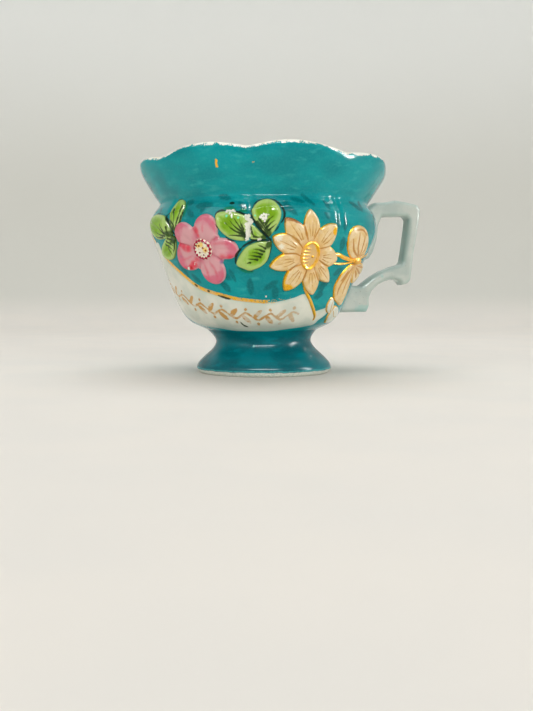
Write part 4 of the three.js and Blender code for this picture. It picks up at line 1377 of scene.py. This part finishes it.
def make_pink_centre():
    """A flat button with a raised beaded ring and small raised stamens."""
    loop = oval(PINK_BOSS, 5.1, 3.55, 120)

    def bead(angle, height):
        return np.cos(np.radians(polar(angle, height, PINK_BOSS)[0] * PINK_BEADS))

    def dots(angle, height, places, radius):
        return blobs(angle, height, [(*place, radius) for place in places])

    def relief(angle, height, inside):
        ring = bell(inside - 0.6, 0.34) * (0.42 + 0.12 * bead(angle, height))
        stamens = 0.34 * smoothstep(-0.1, 0.3, dots(angle, height, PINK_STAMENS, 0.42))
        return 0.75 + 0.45 * rounded_edge(inside, 0.5) + ring + stamens + 0.2 * smoothstep(1, 3, inside)

    boss, angle, height, inside = patch("pink_flower_centre_enamelled", loop, PINK_BOSS, relief)
    give_fields(
        boss,
        shade=0.38 + 0.2 * bead(angle, height) - np.abs(inside - 0.55),
        tone=blobs(angle, height, [(-30.8, 47.8, 0.9), (-29.0, 46.1, 0.9), (-32.6, 47.4, 0.6)]),
        vein=dots(angle, height, PINK_STAMENS[:4], 0.36),
        under=dots(angle, height, PINK_STAMENS[4:], 0.3),
    )
    return finish_piece(boss, pink_centre_material(), "crimson_paint", "pink_flower_centre")


def make_gold_centre(gold):
    """An oval button, its raised ring heavy at the right, with a comb of stamens at the left."""
    middle, pips = (23.3, 43.9), [(24.5, 43.7, 0.4)]
    loop = oval(middle, 5.2, 4.9, 132)
    root, tip = 19.2, 22.9
    stamens = [
        (
            [
                (root + 0.22 * rise**2, middle[1] + rise), (21.0, middle[1] + rise),
                (tip, middle[1] + rise * 0.9),
            ],
            0.27, POINTED,
        )
        for rise in np.linspace(-3.1, 2.6, 6)
    ]

    def relief(angle, height, inside):
        right = smoothstep(-2, 3, angle - middle[0] + (middle[1] - height) * 0.6)
        ring = bell(inside - 0.55, 0.42) * (0.3 + 0.4 * right)
        comb = 0.35 * smoothstep(-0.15, 0.2, strokes(angle, height, stamens))
        pip = 0.35 * smoothstep(-0.1, 0.3, blobs(angle, height, pips))
        return 0.75 + 0.4 * rounded_edge(inside, 0.5) + ring + comb + pip

    boss, angle, height, inside = patch("gold_flower_centre_gilded", loop, middle, relief)
    comb = strokes(angle, height, stamens)
    pip = blobs(angle, height, pips)
    off_ring = inside - 0.9 - 0.5 * smoothstep(-1, 2, angle - middle[0])
    plain = np.minimum(off_ring, -np.maximum(comb, pip) - 0.05)
    give_fields(boss, vein=plain)
    return finish_piece(boss, gold, "bright_gilding", "gold_flower_centre")


# Each of these: its outline and the lines drawn on it from its base to its tip.
CREAM_PIECES = {
    "gold_bud": (
        [
            (52.3, 43.5), (48.9, 44.9), (46.4, 46.7), (44.9, 49.5), (44.5, 51.3), (45.7, 53.4), (48.0, 54.5),
            (52.0, 54.9), (57.0, 53.9), (61.2, 51.7), (64.3, 49.0), (65.7, 45.9), (64.8, 44.1), (58.6, 43.4),
        ],
        [
            [(57.0, 44.2), (50.6, 46.4), (47.4, 50.2)], [(57.4, 44.4), (53.0, 47.4), (50.8, 52.6)],
            [(58.2, 44.4), (57.0, 48.0), (55.8, 52.6)], [(59.2, 44.4), (60.6, 47.4), (60.8, 50.2)],
            [(60.0, 44.4), (63.2, 45.6)], [(49.0, 53.2), (53.6, 53.4), (58.8, 51.6)],
        ],
    ),
    "gold_long_leaf": (
        [
            (58.1, 41.3), (54.5, 41.4), (51.7, 39.8), (49.0, 37.6), (47.3, 34.4), (47.2, 32.6), (49.7, 29.7),
            (52.7, 28.2), (57.6, 27.1), (63.8, 26.3), (65.2, 28.4), (65.6, 31.2), (63.5, 35.2), (60.1, 39.2),
        ],
        [
            [(56.6, 40.8), (52.4, 36.8), (50.6, 33.0), (51.6, 30.2)],
            [(57.0, 40.6), (55.6, 36.0), (56.0, 31.0)],
            [(57.6, 40.4), (59.6, 36.4), (61.8, 31.6), (61.6, 28.2)], [(53.6, 39.4), (50.0, 35.4)],
            [(60.0, 37.0), (62.6, 33.4)],
        ],
    ),
    "gold_short_leaf": (
        [
            (57.8, 41.2), (61.9, 41.8), (69.4, 42.2), (76.8, 41.8), (79.4, 40.4), (78.4, 38.0), (75.6, 35.6),
            (71.0, 34.6), (66.6, 35.2), (62.2, 37.2),
        ],
        [
            [(60.0, 40.6), (67.0, 39.0), (76.0, 38.2)], [(60.6, 41.0), (68.0, 41.0), (75.6, 40.6)],
            [(61.4, 39.4), (68.0, 36.8)],
        ],
    ),
}


def make_cream_piece(name, material, outline, drawn):
    """A bud or leaf in pale gilding, with fine lines drawn from its base to its tip."""
    middle = np.mean(outline, axis=0)
    around = middle[1]
    loop = even_loop(spline(outline, 8, closed=True), 140, around)
    routes = [(route, 0.36, TAPERED) for route in drawn]

    def relief(angle, height, inside):
        dome = 1.45 * (0.66 + 0.34 * smoothstep(0.3, 3.4, inside)) * rounded_edge(inside, 1.1)
        lines = np.clip(strokes(angle, height, routes) + 0.2, 0, 0.35)
        return dome - 0.5 * lines - 0.1

    piece, angle, height, inside = patch(name + "_gilded", loop, middle, relief)
    base = flat(*drawn[0][0], around)
    away = np.hypot(*(flat(angle, height, around) - base).T)
    none = np.full(len(angle), FAR_OUTSIDE)
    give_fields(
        piece, vein=strokes(angle, height, routes), gilt=GILT_EDGE - inside, shade=0.7 * bell(away, 3.0),
        burnt=none, frayed=none,
    )
    return finish_piece(piece, material, "cream_gilding", name)


WHITE_LEAVES = {
    "white_leaf_upper": [
        (49.2, 29.4), (47.0, 28.4), (46.3, 26.4), (47.8, 24.5), (51.6, 23.4), (53.9, 24.1), (54.4, 25.6),
        (53.0, 27.6),
    ],
    "white_leaf_lower": [
        (54.9, 25.6), (53.4, 22.4), (56.3, 20.1), (60.0, 19.7), (63.5, 19.9), (69.3, 22.4), (66.5, 24.3),
        (62.0, 25.7), (57.6, 26.2),
    ],
}
# A line on each white leaf.
WHITE_VEINS = [
    ([(51.8, 24.4), (50.4, 26.4), (49.6, 28.6)], 0.26, POINTED),
    ([(56.0, 24.4), (60.6, 22.6), (65.6, 22.4)], 0.24, POINTED),
]


def make_white_leaf(name, material, outline):
    middle = np.mean(outline, axis=0)
    loop = even_loop(spline(outline, 8, closed=True), 96, middle[1])

    def relief(angle, height, inside):
        lines = np.clip(strokes(angle, height, WHITE_VEINS) + 0.1, 0, 0.3)
        return 1.0 * rounded_edge(inside, 1.2) - 0.3 * lines - 0.1

    leaf, angle, height, inside = patch(name + "_glazed", loop, middle, relief)
    give_fields(leaf, gilt=np.maximum(0.3 - inside, strokes(angle, height, WHITE_VEINS)))
    return finish_piece(leaf, material, "white_glaze", name)


def strip(name, route, half_width, rise, taper=TAPERED, steps=10):
    """A rounded raised band that follows a route on the wall."""
    places = spline(route, steps, closed=False)
    around = places[:, 1].mean()
    line = flat(*places.T, around)
    direction = np.gradient(line, axis=0)
    direction /= np.hypot(*direction.T)[:, None]
    normal = np.stack([-direction[:, 1], direction[:, 0]], 1)
    share = np.linspace(0, 1, len(line))
    width = half_width * TAPERS[taper](share)
    across = np.linspace(1, -1, 9)
    rings = []
    for point, side, half in zip(line, normal, width):
        top = point + side * (across * half)[:, None]
        lift = rise * half / half_width * np.sqrt(np.clip(1 - across**2, 0, 1))
        loop = np.concatenate([top, top[::-1][1:-1:2]])
        lifts = np.concatenate([lift - 0.1, np.full(4, UNDERSIDE)])
        angle = np.degrees(loop[:, 0] / cup_radius(around))
        rings.append(wall(angle, loop[:, 1], lifts))
    caps = [wall(places[k : k + 1, 0], places[k : k + 1, 1], 0.0) for k in (0, len(places) - 1)]
    return skin(name, [caps[0], *rings, caps[1]])


def join(first, *others):
    with bpy.context.temp_override(active_object=first, selected_editable_objects=[first, *others]):
        bpy.ops.object.join()
    return first


def gild(piece, gold, *nodes):
    give_fields(piece, vein=np.full(len(piece.data.vertices), FAR_OUTSIDE))
    return finish_piece(piece, gold, "bright_gilding", *nodes)


KNOT = (59.3, 42.8)
KNOT_RAYS = [(-5.6, 1.0), (-2.0, 2.4), (2.0, 2.4), (6.4, 1.3), (4.4, -1.6), (-2.4, -2.4), (0.6, -2.6)]


def make_gilding(gold):
    stem_route = [
        (23.8, 32.8), (26.5, 30.7), (29.5, 28.8), (32.9, 26.4), (36.4, 24.1), (39.4, 22.2), (39.8, 20.8),
    ]
    gild(strip("gold_stem_gilded", stem_route, 0.66, 0.8), gold, "gold_stem")
    upper = strip(
        "gold_link_gilded", [(38.6, 44.2), (42.0, 44.3), (46.2, 43.5), (52.7, 42.8), (57.0, 42.7)],
        0.72, 0.9, EVEN,
    )
    lower = strip(
        "gold_link_lower", [(37.4, 41.2), (41.0, 41.3), (44.8, 41.2), (49.9, 41.5), (56.0, 42.1)], 0.4, 0.8,
    )
    crossing = strip("gold_link_crossing", [(39.4, 44.2), (39.6, 42.6), (39.4, 41.0)], 0.5, 0.7)
    gild(join(upper, lower, crossing), gold, "gold_link")
    knot, *_ = patch(
        "gold_knot_gilded", oval(KNOT, 3.2, 1.5, 60), KNOT,
        lambda angle, height, inside: 1.8 * rounded_edge(inside, 1.4) - 0.1,
    )
    rays = []
    for k, (aside, rise) in enumerate(KNOT_RAYS):
        route = [KNOT, (KNOT[0] + 0.5 * aside, KNOT[1] + 0.55 * rise), (KNOT[0] + aside, KNOT[1] + rise)]
        rays.append(strip(f"gold_ray_{k}", route, 0.42, 1.3, POINTED))
    gild(join(knot, *rays), gold, "gold_knot")
    tendril_route = [(60.0, 43.0), (65.6, 43.9), (72.1, 44.7), (80.7, 45.9), (88.0, 45.6), (93.0, 43.4)]
    gild(strip("gold_tendril", tendril_route, 0.5, 0.6, POINTED), gold)


def make_pressed_pieces(cream):
    white, gold = white_leaf_material(), bright_gold_material()
    for name, (outline, drawn) in CREAM_PIECES.items():
        make_cream_piece(name, cream, outline, drawn)
    for name, outline in WHITE_LEAVES.items():
        make_white_leaf(name, white, outline)
    make_pink_centre()
    make_gold_centre(gold)
    make_gilding(gold)


# ---------------------------------------------------------------------------------- stage

CAMERA_DISTANCE = 322
CAMERA_HEIGHT = 29.3
CAMERA_PITCH = 4.09  # degrees down
CAMERA_PAN = 0.175  # degrees right of the mug's axis
LENS = 41.4


def make_camera():
    turn = turn_of(0)
    place = Vector((math.cos(turn), math.sin(turn), 0)) * CAMERA_DISTANCE
    heading = turn + math.pi - math.radians(CAMERA_PAN)
    pitch = math.radians(CAMERA_PITCH)
    look = Vector(
        (math.cos(heading) * math.cos(pitch), math.sin(heading) * math.cos(pitch), -math.sin(pitch))
    )
    data = bpy.data.cameras.new("camera")
    data.lens = LENS
    data.clip_start = 0.005
    camera = bpy.data.objects.new("camera", data)
    camera.location = Vector((AXIS.x, AXIS.y, CAMERA_HEIGHT * MM)) + place * MM
    camera.rotation_euler = look.to_track_quat("-Z", "Y").to_euler()
    bpy.context.scene.collection.objects.link(camera)
    bpy.context.scene.camera = camera


def sweep_material():
    """Matt off-white paper, with painted shade where it stands up behind the mug and painted light higher up
    the wall.
    """
    paint = Paint("paper_sweep")
    grain = paint.noise(40, 2.0)
    colour = paint.mix(paint.between(grain, 0.3, 0.7), srgb(229, 224, 216), srgb(226, 222, 215))
    place = paint.tree.nodes.new("ShaderNodeSeparateXYZ")
    paint.tree.links.new(paint.position, place.inputs[0])
    height = place.outputs["Z"]
    # Painted shade: greyer on the lower part of the wall.
    colour = paint.mix(paint.between(height, 0.004, 0.036), colour, srgb(212, 211, 203))
    # Painted light: paler again higher up the wall.
    colour = paint.mix(paint.between(height, 0.12, 0.42), colour, srgb(236, 237, 234))
    return paint.finish(colour, 0.8, specular=0.2)


def make_sweep():
    """A round floor that curves up into a wall, nearer behind the mug than in front of it."""
    reach, bend, wall_top, toward_camera = 0.65, 0.4, 1.6, 0.25
    profile = [(reach * part, 0.0) for part in (0.25, 0.5, 0.75, 1.0)]
    profile += [
        (reach + bend * math.sin(turn), bend * (1 - math.cos(turn)))
        for turn in np.radians(np.arange(4, 91, 4))
    ]
    profile += [(reach + bend, 0.8), (reach + bend, wall_top)]
    direction = turn_of(0)
    middle_x = AXIS.x + toward_camera * math.cos(direction)
    middle_y = AXIS.y + toward_camera * math.sin(direction)
    count = 120
    turns = np.arange(count) * 2 * math.pi / count
    vertices = [(middle_x, middle_y, 0.0)]
    for radius, z in profile:
        vertices += [(middle_x + radius * math.cos(t), middle_y + radius * math.sin(t), z) for t in turns]
    faces = [(0, 1 + k, 1 + (k + 1) % count) for k in range(count)]
    for ring in range(len(profile) - 1):
        start = 1 + ring * count
        faces += [
            (start + k, start + count + k, start + count + (k + 1) % count, start + (k + 1) % count)
            for k in range(count)
        ]
    mesh = bpy.data.meshes.new("paper_sweep")
    mesh.from_pydata(vertices, [], faces)
    mesh.shade_smooth()
    sweep = bpy.data.objects.new("paper_sweep", mesh)
    mesh.materials.append(sweep_material())
    bpy.context.scene.collection.objects.link(sweep)


# Place and size in metres, and power in watts.
LAMPS = {
    "overhead_softbox": ((0.05, 0.12, 0.8), (0.7, 0.5), 3.5),
    "left_window": ((-0.75, -0.35, 0.45), (0.4, 0.5), 1.6),
    "front_fill": ((0.25, -0.9, 0.4), (0.7, 0.5), 3.3),
    "over_camera_strip": ((-0.2, -0.7, 0.68), (0.7, 0.09), 16),
    "right_strip": ((0.72, -0.35, 0.3), (0.06, 0.5), 10),
}
NOT_IN_REFLECTIONS = ["front_fill"]
ONLY_IN_REFLECTIONS = ["over_camera_strip", "right_strip"]
LAMPS_AIM_AT = 0.04  # height on the mug's axis
SKY, SKY_STRENGTH = (0.93, 0.95, 1.0, 1.0), 0.3


def area_light(name, place, target, size, power):
    data = bpy.data.lights.new(name, "AREA")
    data.shape = "RECTANGLE"
    data.size, data.size_y = size
    data.energy = power
    light = bpy.data.objects.new(name, data)
    light.location = place
    light.rotation_euler = (Vector(target) - Vector(place)).to_track_quat("-Z", "Y").to_euler()
    bpy.context.scene.collection.objects.link(light)
    return light


def make_lights():
    world = bpy.data.worlds.new("studio")
    world.use_nodes = True
    background = world.node_tree.nodes["Background"]
    background.inputs["Color"].default_value = SKY
    background.inputs["Strength"].default_value = SKY_STRENGTH
    world.cycles_visibility.glossy = False
    bpy.context.scene.world = world
    target = (AXIS.x, AXIS.y, LAMPS_AIM_AT)
    lamps = {name: area_light(name, place, target, *rest) for name, (place, *rest) in LAMPS.items()}
    for name in NOT_IN_REFLECTIONS:
        lamps[name].visible_glossy = False
    for name in ONLY_IN_REFLECTIONS:
        lamps[name].visible_diffuse = False
    bpy.context.scene.view_settings.view_transform = "Standard"


make_camera()
make_sweep()
make_lights()
make_bowl()
make_foot()
make_handle()
make_leaves()
cream_gilding = cream_material()
make_flowers(cream_gilding)
make_pressed_pieces(cream_gilding)
